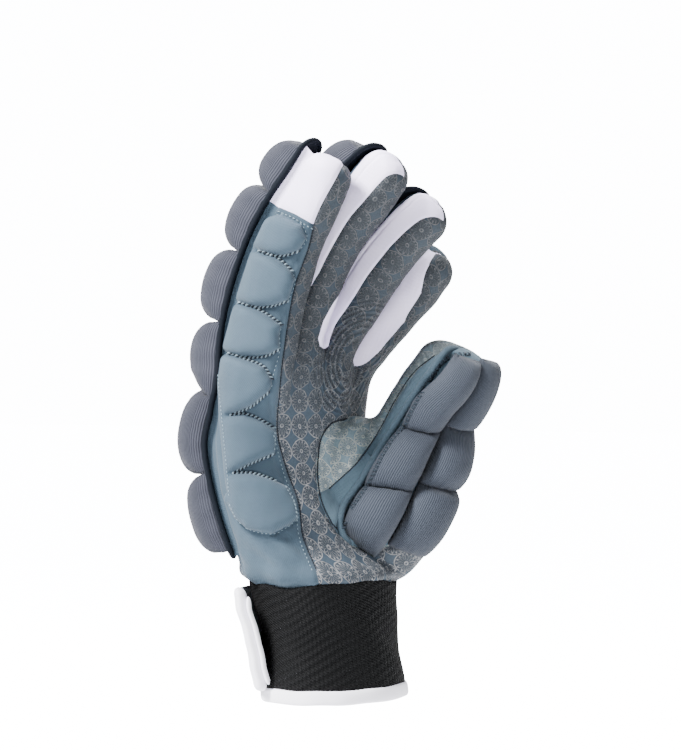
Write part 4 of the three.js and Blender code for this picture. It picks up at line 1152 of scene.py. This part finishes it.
# places of the notches between the pads along each strip
NOTCHES = {
    "little_finger": [0.015, 0.195, 0.375, 0.54, 0.70, 0.852, 0.978],
    "ring_finger": [0.015, 0.19, 0.365, 0.53, 0.69, 0.838, 0.97],
    "middle_finger": [0.015, 0.20, 0.385, 0.545, 0.69, 0.83, 0.965],
    "index_finger": [0.015, 0.225, 0.43, 0.61, 0.78, 0.945],
}


STRIP_STEPS = 400
HALF_STRIP = 9.3                             # half width of a strip over the finger, mm

# %% [markdown]
# Over the hand a strip's middle and width come from the back's own section, and over the finger it
# follows the finger's centre line. Both are rows of one table, which is then sampled evenly.

# %% Strip frames
def back_edge(x, z):
    """y of the palm's back at (x, z), from its superellipse."""
    cx, cy, a, b, e = table_at(PALM_AT, z, 6)
    side = min(abs((x - cx) / a), 0.985)
    return cy + b * (1 - side ** e) ** (1 / e)


def line_at(line, s):
    """Centre, ways and sizes of a centre line at a share s of its length, straight on beyond it."""
    c, t, o, w, size = between(line, ("c", "t", "o", "w", "size"), np.clip(s, 0, 1) * LINE_STEPS)
    return c + t * (s - np.clip(s, 0, 1)) * line["length"], o, w, size


def strip_frame(k):
    """Even samples of a strip: centre, way across, way out and half width."""
    name = NAMES[k]
    end, shift, tip, roll = STRIP_END[name]
    rows = []
    for z, half in BACKING_HAND:
        left, right = (
            np.array([x, back_edge(0.955 * x, z) + 0.9, z]) for x in (half * (k - 2) / 2, half * (k - 1) / 2))
        rows.append([*(left + right) / 2, *unit(right - left), np.linalg.norm(right - left) / 2 + 0.5])
    start = 0.24 if name == "index_finger" else 0.17
    for i in range(8):
        c, o, w, size = line_at(LINES[name], start + (end - start) * i / 7)
        near = max(0, (i - 5) / 2)
        turn = np.radians(roll) * (1 - 0.4 * i / 7)
        spot = c + w * shift * near + o * (size[1] + 0.6 - 0.8 * near)
        rows.append([*spot, *(w * np.cos(turn) + o * np.sin(turn)), HALF_STRIP - (HALF_STRIP - tip) * near])
    even, table = evenly(rows, 800, STRIP_STEPS + 1)
    along = unit(np.gradient(table[:, :3], axis=0))
    across = table[:, 3:6]
    across = unit(across - along * (across * along).sum(1, keepdims=True))
    return {
        "c": table[:, :3], "w": across, "o": np.cross(along, across), "half": table[:, 6], "length": even[-1],
    }


def on_strip(strip, s, across, out):
    """Points in mm of flat work on a strip: share s of its length, mm across and mm out."""
    s, across, out = np.broadcast_arrays(s, across, out)
    c, w, o = between(strip, ("c", "w", "o"), np.clip(s, 0, 1) * STRIP_STEPS)
    return c + w * across[..., None] + o * out[..., None]


def half_width(strip, s):
    """Half width of a strip at shares s of its length."""
    return np.interp(s, np.linspace(0, 1, STRIP_STEPS + 1), strip["half"])


STRIPS = [strip_frame(k) for k in range(4)]
print("strips in mm:", [round(float(strip["length"]), 1) for strip in STRIPS])

# %% [markdown]
# Two helpers for what follows: several parts made one, and a round tube about a path, for rolled
# edges and ridges.

# %% Joined parts and tubes
def joined(parts):
    """One array of points and one of faces out of several."""
    start = np.cumsum([0] + [len(p) for p, _ in parts[:-1]])
    return np.concatenate([p for p, _ in parts]), np.concatenate([f + n for (_, f), n in zip(parts, start)])


def tube_round(path, radius, sides=10):
    """Points and faces of a round tube about a path, drawn in to a point at both ends: path +
    radius (across cos t + out sin t)."""
    way = unit(np.gradient(path, axis=0))
    across = unit(np.cross(way, SIDE + 0.3 * UP))
    out = np.cross(across, way)
    angle = ring(sides)
    radius = np.full(len(path), radius)
    radius[[0, -1]] *= 0.05
    rings = path[:, None] + radius[:, None, None] * (
        across[:, None] * np.cos(angle)[:, None] + out[:, None] * np.sin(angle)[:, None])
    return rings.reshape(-1, 3), grid_faces(len(rings), sides)

# %% [markdown]
# The backing is a thin plate whose edge is rolled over: a tube follows the plate's outline. Between
# the roll and the skin the cloth of the hand turns up, so that no gap shows under a strip.

# %% Backing with its rolled edge
def plate(strip):
    """Rounded plate 1.2 mm thick, its two ends drawn in as half circles, and a roll round its edge."""
    s = np.linspace(0, 1, 161)
    ends = np.minimum(s, 1 - s) * strip["length"]
    half = half_width(strip, s)
    corner = np.where(s < 0.5, 4.0, np.minimum(7.0, half[-1] - 0.8))
    half = half - corner * (1 - np.sqrt(1 - (1 - np.clip(ends / corner, 0, 1)) ** 2))
    angle = ring(28)
    across, out = powered(np.cos(angle), 0.35), powered(np.sin(angle), 0.8)
    grid = drawn_in(on_strip(strip, s[:, None], half[:, None] * across, 0.6 + 0.6 * out))
    body = grid.reshape(-1, 3), grid_faces(len(grid), 28)
    round_x = np.concatenate([-half, half[::-1]])
    round_x = round_x * (1 + 1.0 / np.abs(round_x).max())
    loop = on_strip(strip, np.concatenate([s, s[::-1]]), round_x, 0.5)
    return [body, tube_round(smooth_path(loop, 420), 1.1)]


backing, backing_faces = joined([part for strip in STRIPS for part in plate(strip)])
piece("back_backing", backing, backing_faces, backing_cloth, "dark_backing", node="back_backing")


def turned_edge(strip, side, from_s, to_s):
    """Cloth between the skin and the rolled edge of a strip: straight lines from one to the other
    that sag a little, and start under the skin."""
    s = np.linspace(from_s, to_s, 120)
    half = half_width(strip, s)
    edge = on_strip(strip, s, side * (half - 0.4), -0.3)
    under = onto(skin_field, on_strip(strip, s, side * (half - 1.0), -5.0), 3)
    under = under - 0.6 * unit(slope_of(skin_field, under))
    share = np.linspace(0, 1, 7)[:, None, None]
    grid = edge * share + under * (1 - share)
    grid = grid - 0.5 * np.sin(np.pi * share) * unit(slope_of(skin_field, under))
    faces = grid_faces(7, len(s), closed=False)
    corner = grid.reshape(-1, 3)[faces[len(faces) // 2]]
    facing = np.cross(corner[1] - corner[0], corner[2] - corner[0]) @ (slope_of(skin_field, corner[:1])[0])
    return grid.reshape(-1, 3), faces if facing > 0 else faces[:, ::-1]


def upright_map(points, faces):
    """UV of each corner straight from the front: x and z in mm."""
    return points[faces][..., [0, 2]].reshape(-1, 2)


# share of the little finger's strip at which the white patch begins, 184.8 mm up
patch_from = float(np.interp(184.8, STRIPS[0]["c"][:, 2], np.linspace(0, 1, STRIP_STEPS + 1)))
TURNED = [
    ("side_panel_turned_edge", STRIPS[0], -1, 0.0, patch_from, side_cloth, "stretch_cloth"),
    ("patch_turned_edge", STRIPS[0], -1, patch_from, 0.99, white_cloth, "white_cloth"),
    ("back_panel_turned_edge", STRIPS[3], 1, 0.0, 0.95, side_cloth, "stretch_cloth"),
]
for name, strip, side, from_s, to_s, look, slot in TURNED:
    edge, edge_faces = turned_edge(strip, side, from_s, to_s)
    piece(name, edge, edge_faces, look, slot, upright_map(edge, edge_faces))

# %% [markdown]
# A pad is a pillow: between two notches its height follows (1 - |u|^2.6)^0.45 along, and across
# it is a superellipse, flat on top and steep at the stitching. Simulated cloth could give the
# same plump form; here the formula gives it, and small folds at the notches make it look sewn.

# %% Back pads
PAD_HALF = 8.9                               # mm, half width of a pad over the finger


def pad_rise(s):
    """Full height of the back pads: 11 mm over the hand, 13.2 over the finger, lower at its tip."""
    return 11.0 + 2.2 * ramp(s, 0.3, 0.5) - 2.2 * ramp(s, 0.84, 1.0)


def stations(marks, steps):
    """Places through all pads of a column, u from -1 to 1 inside its pad, and the pad's number."""
    u = np.linspace(-1, 1, steps)
    s = np.concatenate([a + (b - a) * (u + 1) / 2 for a, b in zip(marks, marks[1:])])
    return s, np.tile(u, len(marks) - 1), np.repeat(np.arange(len(marks) - 1), steps)


def folds(u, v, number, seed):
    """Puckers at the notches: waves across the pad that die out away from its ends, as |u|^5."""
    rng = np.random.default_rng(seed)
    phase = rng.uniform(0, 6.28, (40, 2))[number]
    rate = rng.uniform(5, 9, 40)[number][:, None]
    first, second = np.sin(rate * v * 1.6 + phase[:, :1]), np.sin(rate * v * 2.7 + phase[:, 1:])
    return np.abs(u[:, None]) ** 5 * (first * 0.5 + second * 0.35)


def pad_mesh(grid, x, y, wide, tall, s, length):
    """Points, faces and map of a column: mm round the pad, by its half width and height, and mm
    along it."""
    grid = drawn_in(grid)
    girth = travelled(np.stack([x * wide, y * tall], 1))
    girth = np.concatenate([girth, girth[-1] + np.array([3.0, 12.0])])
    faces = grid_faces(len(grid), grid.shape[1])
    along = np.concatenate([[0], s, [1]]) * length
    flat = np.stack(np.broadcast_arrays(girth[None], along[:, None]), -1).reshape(-1, 2)
    return grid.reshape(-1, 3), faces, flat[faces].reshape(-1, 2)


def pad_column(k):
    """Points, faces and map of one column of back pads, closed under the pads."""
    strip = STRIPS[k]
    s, u, number = stations(NOTCHES[NAMES[k]], 40)
    turn = np.linspace(0, np.pi, 44)
    bulge = (1 - np.abs(u) ** 2.6) ** 0.45
    half = np.minimum(PAD_HALF, half_width(strip, s) - 0.7) * (0.91 + 0.09 * bulge)
    x = -powered(np.cos(turn), 0.62)
    y = np.abs(np.sin(turn)) ** 0.66
    v = np.tile(x, (len(s), 1))
    wide = half[:, None] * v * (1 + 0.02 * np.sin(3.1 * s * 40)[:, None])
    high = 1.2 + 2.55 * np.minimum(1, y * 3) + ((pad_rise(s) - 1.3) * bulge)[:, None] * y
    top = on_strip(strip, s[:, None], wide, high + 0.45 * folds(u, v, number, 11 + k) * y)
    low = on_strip(strip, s[:, None], half[:, None] * np.array([0.9, -0.9]), 0.8)
    return pad_mesh(np.concatenate([top, low], 1), x, y, 8.7, 11, s, strip["length"])


for k, name in enumerate(NAMES):
    points, faces, flat = pad_column(k)
    made = piece(f"{name}_pads", points, faces, pad_cloth, "ribbed_pad", flat, f"{name}_pads")

# %% [markdown]
# ## Thumb pads
# Two columns run up the back of the thumb. They are built as the back pads are, with angle round
# the thumb in place of the distance across a strip. Their notches are shallower and slant down
# towards the palm.

# %% Thumb pads
# z of the notches of the column towards the palm (side 1) and towards the back (side -1)
THUMB_NOTCHES = {1: [52.0, 72.8, 101.5, 129.0], -1: [59.0, 81.5, 109.0, 130.5]}
INNER_HIGH = 8.6                             # mm of height of the column towards the palm


def thumb_section(size, angle):
    """Distance from the thumb's middle to its cloth at an angle from its back."""
    total = np.abs(np.sin(angle) / size[:, None, 0]) ** 2.5 + np.abs(np.cos(angle) / size[:, None, 1]) ** 2.5
    return total ** -0.4


def thumb_column(side):
    """Points, faces and map of one column: side 1 towards the palm, -1 towards the back."""
    marks = np.interp(THUMB_NOTCHES[side], THUMB_LINE["c"][:, 2], np.linspace(0, 1, LINE_STEPS + 1))
    s, u, number = stations(marks, 44)
    turn = np.linspace(0, np.pi, 40)
    centre, out, across, size = between(THUMB_LINE, ("c", "o", "w", "size"), s * LINE_STEPS)
    inner = side > 0
    crease = 0.34 if inner else 0.25
    outermost = (number == 0) & (u < 0) | (number == number.max()) & (u > 0)
    ends = np.where(outermost, (1 - np.abs(u) ** 2.6) ** 0.45, 1.0)
    bulge = np.minimum(crease + (1 - crease) * (1 - np.abs(u) ** 2.5) ** 0.55, ends)
    height = INNER_HIGH if inner else size[:, 4]
    x = -powered(np.cos(turn), 0.82)
    y = np.abs(np.sin(turn)) ** 0.90
    part = 0.91 + 0.09 * ramp(s, 0.62, 0.85) - 0.07 * ramp(s, 0.85, 1.0) if inner else np.full(len(s), 0.95)
    span = (size[:, 3:4] - 1) * part[:, None]
    angle = side * np.radians(1 + span * (side * x + 1) / 2)
    lump = 0.4 * folds(u, np.tile(x, (len(s), 1)), number, 31 + side) * y
    high = 0.5 + 1.3 * np.minimum(1, y * 3) + (height * bulge)[:, None] * y + lump

    def placed(angle, distance):
        return centre[:, None] + distance[..., None] * (
            across[:, None] * np.sin(angle)[..., None] + out[:, None] * np.cos(angle)[..., None])

    low = angle[:, [-1, 0]] * 0.9 + angle[:, [0, -1]] * 0.1
    top = placed(angle, thumb_section(size, angle) + high)
    grid = np.concatenate([top, placed(low, thumb_section(size, low) - 0.4)], 1)
    shift = (ramp(s, 0.0, 0.25) * (1 - ramp(s, 0.75, 1.0)))[:, None] * (-2.0 * x - 1.6 * y)
    shift = np.concatenate([shift, shift[:, [-1, 0]]], 1)[..., None]
    grid = grid + shift * unit(np.gradient(centre, axis=0))[:, None]
    return pad_mesh(grid, x, y, 8.5, 7, s, THUMB_LINE["length"])


THUMB_PADS = {}
for side, name in ((1, "thumb_inner_pads"), (-1, "thumb_outer_pads")):
    points, faces, flat = thumb_column(side)
    THUMB_PADS[side] = points, faces
    made = piece(name, points, faces, thumb_pad_cloth, "thumb_pad", flat, name)

# %% [markdown]
# ## Knitted cuff, its bound edge and the flap
# The cuff is a rib knit: 98 upright ribs, real in the mesh, because their shadows run the
# whole height. Its foot is bound with white tape, and a flap closes it round the back.

# %% Cuff
CUFF = np.array([
    # z | centre x, y | half width, half depth
    [0, 0.0, 0.0, 31.2, 24.2], [3.6, 0.0, 0.2, 31.0, 24.0], [14, 0.0, 1.2, 30.0, 23.2],
    [25, 0.2, 2.6, 29.2, 22.6], [35, 0.6, 4.4, 30.6, 23.6], [43.6, 1.0, 5.9, 32.4, 24.6],
])
RIBS, RIB_POINTS = 98, 8
FOOT, TAPE_SIDES, FLAP_SIDES, ROLL_SIDES = 4.6, 20, 64, 24


def cuff_ring(angle, z, off):
    """Points round the cuff, off mm outside its wall: superellipse of exponent 2.1."""
    cx, cy, a, b = table_at(CUFF, z)
    x = cx + (a + off) * powered(np.cos(angle), 2 / 2.1)
    y = cy + (b + off) * powered(np.sin(angle), 2 / 2.1)
    return np.stack(np.broadcast_arrays(x, y, z), -1)


turn = ring(RIBS * RIB_POINTS)
rib = np.abs(np.cos(RIBS * turn / 2))[None]
top = 43.4 + 0.9 * np.sin(3 * turn + 1) + 0.5 * np.sin(7 * turn)
share = np.linspace(0, 1, 30)[:, None]
level = FOOT + (top[None] - FOOT) * share
sag = 0.5 * np.sin(5 * turn + 9 * share) * np.sin(np.pi * share)
outer = cuff_ring(turn[None], level, 0.18 * (rib - 1) + sag)
inner = cuff_ring(turn[None], FOOT + (top[None] - 0.2 - FOOT) * share[::-4], -1.8 + sag[::-4])
edge = cuff_ring(turn[None], top[None] + 0.5, -0.9 + 0.2 * rib)
knitted = np.concatenate([outer, edge, inner, outer[:1]])
faces = grid_faces(len(knitted), len(turn))
flat_u = np.arange(len(turn) + 1) / RIB_POINTS * 0.8
flat_v = np.concatenate([level[:, 0], [45], level[::-4, 0] + 3, [FOOT]])
rows, columns = np.divmod(faces, len(turn))
columns[:, 1:3] = np.where(columns[:, 1:3] == 0, len(turn), columns[:, 1:3])
flat = np.stack([flat_u[columns], flat_v[rows]], -1).reshape(-1, 2)
piece("wrist_cuff", knitted.reshape(-1, 3), faces, knit, "rib_knit", flat, "wrist_cuff")

turn, section = ring(220)[:, None], ring(TAPE_SIDES)[None]
out = 0.7 - 1.4 + 1.4 * powered(np.cos(section), 0.6)
high = 2.85 + 2.7 * powered(np.sin(section), 0.7)
tape = cuff_ring(turn, high + 0.12 * np.sin(9 * turn), out + 0.1 * np.sin(13 * turn))
faces = grid_faces(len(tape) + 1, TAPE_SIDES)[:, ::-1] % (len(tape) * TAPE_SIDES)
piece("cuff_binding", tape.reshape(-1, 3), faces, band_cloth, "white_cloth", node="cuff_binding")

# %% [markdown]
# The flap is a plate bent round the cuff. It lies on the knit at its sewn end and lifts towards its
# free edge, which is bound with a thick roll of white tape.

# %% Flap
FLAP = np.array([[4.2, 1.6], [14, 4.2], [26, 6.6], [35, 7.4], [41.5, 6.4]])   # z | stand-off


def flap_point(degrees, z, off):
    """Place on the flap: it lies 0.5 mm off the knit and lifts towards its free edge."""
    lift = np.clip((degrees - 105) / 58, 0, None) ** 1.7
    return cuff_ring(np.radians(degrees), z, 0.5 + np.interp(z, *FLAP.T) * lift + off)


around, section = np.linspace(62, 156.5, 80)[:, None], ring(FLAP_SIDES)[None]
tall, deep = powered(np.cos(section), 0.35), powered(np.sin(section), 0.8)
grid = drawn_in(flap_point(around, 22.95 + 18.55 * tall, 1.2 + 0.85 * deep))
faces = grid_faces(len(grid), FLAP_SIDES)
piece("closure_flap", grid.reshape(-1, 3), faces, flap_cloth, "flap_cloth", node="closure_flap")


def flap_roll(degrees, off, wide, deep, low, high):
    """Upright roll of tape on the flap: half width in degrees, half thickness in mm, round ends."""
    height, angle = np.linspace(low, high, 70)[:, None], ring(ROLL_SIDES)
    ends = np.sqrt(1 - (1 - np.clip(np.minimum(height - low, high - height) / 3.0, 0, 1)) ** 2)
    x = degrees + wide * powered(np.cos(angle), 0.8) * ends
    y = off + deep * powered(np.sin(angle), 0.8) * ends
    grid = drawn_in(flap_point(x, height * np.ones((1, ROLL_SIDES)), y + 0.15 * np.sin(height * 0.6)))
    return grid.reshape(-1, 3), grid_faces(len(grid), ROLL_SIDES)[:, ::-1]


rolls = [flap_roll(159.0, 1.4, 5.2, 2.5, 4.4, 42.8), flap_roll(165.0, -0.9, 1.9, 1.1, 7.0, 39.5)]
piece("flap_binding", *joined(rolls), band_cloth, "white_cloth", node="flap_binding")

# %% [markdown]
# ## Threads
# A stitch is a short grain of thread. Its two ends are found by looking from the camera through
# the drawn seam onto the cloth, so the seams fall where the picture has them. Darts are overcast
# by slanted stitches, dark and light in turn, which reads as a twisted cord.

# %% Stitches
CLOTH = BVHTree.FromPolygons(skin.tolist(), skin_faces.tolist())
GRAIN_SIDES = 6
# rings of a grain: share of its length, share of its radius, and rise in radii
GRAIN = np.array([[0.0, 0.1, -1.2], [0.12, 0.8, -0.1], [0.5, 1.0, 0.5], [0.88, 0.8, -0.1], [1.0, 0.1, -1.2]])


def on_cloth(q, tree=CLOTH):
    """Points in mm on the cloth behind places (across, up) of the picture, and normals that face
    the camera; not a number where there is no cloth."""
    found = []
    for across, up in q:
        way = ACROSS * (across - AIM_ACROSS) + UP * (up - AIM_UP) - SIDE * AWAY
        way = Vector(way.tolist()).normalized()
        spot, normal, _, _ = tree.ray_cast(Vector(EYE.tolist()), way)
        found.append([*spot, *(-normal if normal.dot(way) > 0 else normal)] if spot else [np.nan] * 6)
    found = np.array(found)
    return found[:, :3], found[:, 3:]


def along_path(path, pitch):
    """Even places on a smooth path in the picture, with the way along it."""
    length = travelled(smooth_path(path, 400))[-1]
    places = smooth_path(path, max(int(length / pitch), 3))
    return places, unit(np.gradient(places, axis=0))


def grains(starts, ends, normals, radius, lift):
    """One grain from each start to its end: rings of 6 points, thin and sunk at both ends."""
    way = unit(ends - starts)
    across = unit(np.cross(way, normals))
    out = np.cross(across, way)
    share, thick, rise = GRAIN.T
    thick, rise = radius * thick, lift + radius * rise
    angle = ring(GRAIN_SIDES)
    middle = starts[:, None] + (ends - starts)[:, None] * share[:, None] + out[:, None] * rise[:, None]
    rings = middle[:, :, None] + thick[:, None, None] * (
        across[:, None, None] * np.cos(angle)[:, None] + out[:, None, None] * np.sin(angle)[:, None])
    first = (np.arange(len(starts)) * len(GRAIN) * GRAIN_SIDES)[:, None, None]
    return rings.reshape(-1, 3), (first + grid_faces(len(GRAIN), GRAIN_SIDES)).reshape(-1, 4)[:, ::-1]


def sewn(path, pitch, length, radius, slant=0.0, offset=0.0, lift=0.1, tree=CLOTH):
    """Stitches on a path: each turned by slant degrees from the path and shifted to its left. One
    that reaches over a step of the cloth is left out."""
    places, way = along_path(path, pitch)
    left = np.stack([-way[:, 1], way[:, 0]], 1)
    turn = np.radians(slant)
    line = (way * np.cos(turn) + left * np.sin(turn)) * length / 2
    middle = places + left * offset
    first, normal = on_cloth(middle - line, tree)
    second, _ = on_cloth(middle + line, tree)
    whole = ~np.isnan(first[:, 0]) & ~np.isnan(second[:, 0])
    whole &= np.linalg.norm(np.nan_to_num(first - second), axis=1) < 3.5 * length
    return grains(first[whole], second[whole], normal[whole], radius, lift)


def every_other(part, first):
    """Each second grain of a row."""
    points, faces = part
    kept = faces.reshape(-1, (len(GRAIN) - 1) * GRAIN_SIDES, 4)[first::2].reshape(-1, 4)
    used, kept = np.unique(kept, return_inverse=True)
    return points[used], kept.reshape(-1, 4)


light, dark = [], []
for number, dart in enumerate(DARTS):
    upper = 4 if number < 3 else 3
    for path in (dart[:upper], [dart[0]] + dart[:upper - 1:-1]):
        row = sewn(path, 0.75, 1.35, 0.30, 42, lift=0.15)
        light.append(every_other(row, 0))
        dark.append(every_other(row, 1))

# %% [markdown]
# The other rows are plain: small light ones beside the seams, and dark ones in them.

# %% Rows along the seams
FOAM_ROWS = [
    FOAM_EDGE[0:5], FOAM_EDGE[5:8], FOAM_EDGE[8:12], FOAM_EDGE[13:14] + FOAM_EDGE[11:13][::-1],
    FOAM_EDGE[14:17], FOAM_EDGE[17:26],
]
LEFT_ROW = [[-44.1, 124.9], [-43.2, 113.2], [-42.3, 103.9], [-40.5, 85.1], [-39.7, 75.8]]
light += [sewn(path, 1.5, 0.8, 0.15) for path in FOAM_ROWS]
light.append(sewn(PALM_SEAM[1:6], 1.5, 0.8, 0.16, offset=1.6))
light.append(sewn(PATCH_SEAM[1:4], 1.4, 0.9, 0.20, offset=-1.6))
light.append(sewn(LEFT_ROW, 1.4, 0.8, 0.16))
dark.append(sewn(PALM_SEAM[1:11], 1.1, 1.3, 0.30, lift=0.0))
dark.append(sewn(THUMB_EDGE[:8], 0.9, 1.2, 0.32))
dark.append(sewn(BAND_EDGE[4:10], 0.9, 1.1, 0.26, lift=0.0))

# %% [markdown]
# Beside the thumb's front pads the cloth is rolled into a thick edge, and a zigzag runs over it.
# The roll is a tube along a drawn line: it is found on the cloth as a stitch is, smoothed, and
# sunk at both ends. The zigzag is two rows that slant against each other.

# %% Rolled edge and zigzag
ZIGZAG = [
    [50.2, 128.6], [45.0, 128.3], [40.9, 126.0], [37.5, 122.3], [35.2, 117.9], [31.9, 112.9],
    [28.5, 106.9], [26.2, 102.0], [22.1, 97.3], [18.4, 91.7], [15.0, 85.1], [12.2, 79.5],
    [8.4, 73.9], [4.7, 68.3], [3.4, 63.6],
]
RIDGE = [
    [52.5, 131.0], [50.9, 131.2], [43.4, 130.3], [35.0, 120.4], [26.4, 107.8], [16.2, 91.6],
    [7.6, 78.6], [2.4, 70.8], [1.2, 66.0], [2.6, 61.0], [6.4, 56.8],
]


def tree_of(parts):
    """Search tree of several parts at once."""
    points, faces = joined(parts)
    return BVHTree.FromPolygons(points.tolist(), faces.tolist())


under = [(skin, np.concatenate([skin_faces, skin_faces[:, -1:]], 1)), THUMB_PADS[-1]]
ridge, ridge_normals = on_cloth(along_path(RIDGE, 0.8)[0], tree_of(under))
known = ~np.isnan(ridge[:, 0])
steps = np.arange(known.sum())
sink = np.clip(np.minimum(steps, steps[::-1]) / 7, 0, 1)[:, None]
ridge = ridge[known] + (2.2 * sink - 1.7) * ridge_normals[known]
for _ in range(6):
    ridge[1:-1] = (ridge[:-2] + 2 * ridge[1:-1] + ridge[2:]) / 4
ridge, ridge_faces = tube_round(ridge, 1.5, 12)
ridge_map = upright_map(ridge, ridge_faces)
piece("thumb_rolled_edge", ridge, ridge_faces, ridge_cloth, "stretch_cloth", ridge_map)

over_thumb = tree_of(under + [THUMB_PADS[1], (ridge, ridge_faces)])
zigzag = [sewn(ZIGZAG, 1.6, 1.8, 0.32, slant, 0.1, 0.3, over_thumb) for slant in (50, -50)]

ROWS = [
    ("light_stitches", light, light_thread), ("dark_stitches", dark, dark_thread),
    ("zigzag_stitches", zigzag, zigzag_thread),
]
for name, rows, look in ROWS:
    points, faces = joined([row for row in rows if len(row[1])])
    piece(name, points, faces, look, "stretch_cloth")
    print(name, len(faces), "faces")

# %% [markdown]
# ## Floor
# A wide pale sheet lies 12 cm below the cuff's foot, so that it shows no edge.

# %% Floor and finish
floor_mesh = bpy.data.meshes.new("floor")
floor_mesh.from_pydata([(-9, -9, -0.12), (9, -9, -0.12), (9, 9, -0.12), (-9, 9, -0.12)], [], [(0, 1, 2, 3)])
floor = bpy.data.objects.new("floor", floor_mesh)
floor_paint, floor_tree, floor_base = shader("pale floor", "#f1f2f4", 0.9)
floor_base.inputs["Emission Color"].default_value = linear(PALE)
floor_tree.links.new(white_to_camera(floor_tree, 0.0), floor_base.inputs["Emission Strength"])
floor_mesh.materials.append(floor_paint)
scene.collection.objects.link(floor)
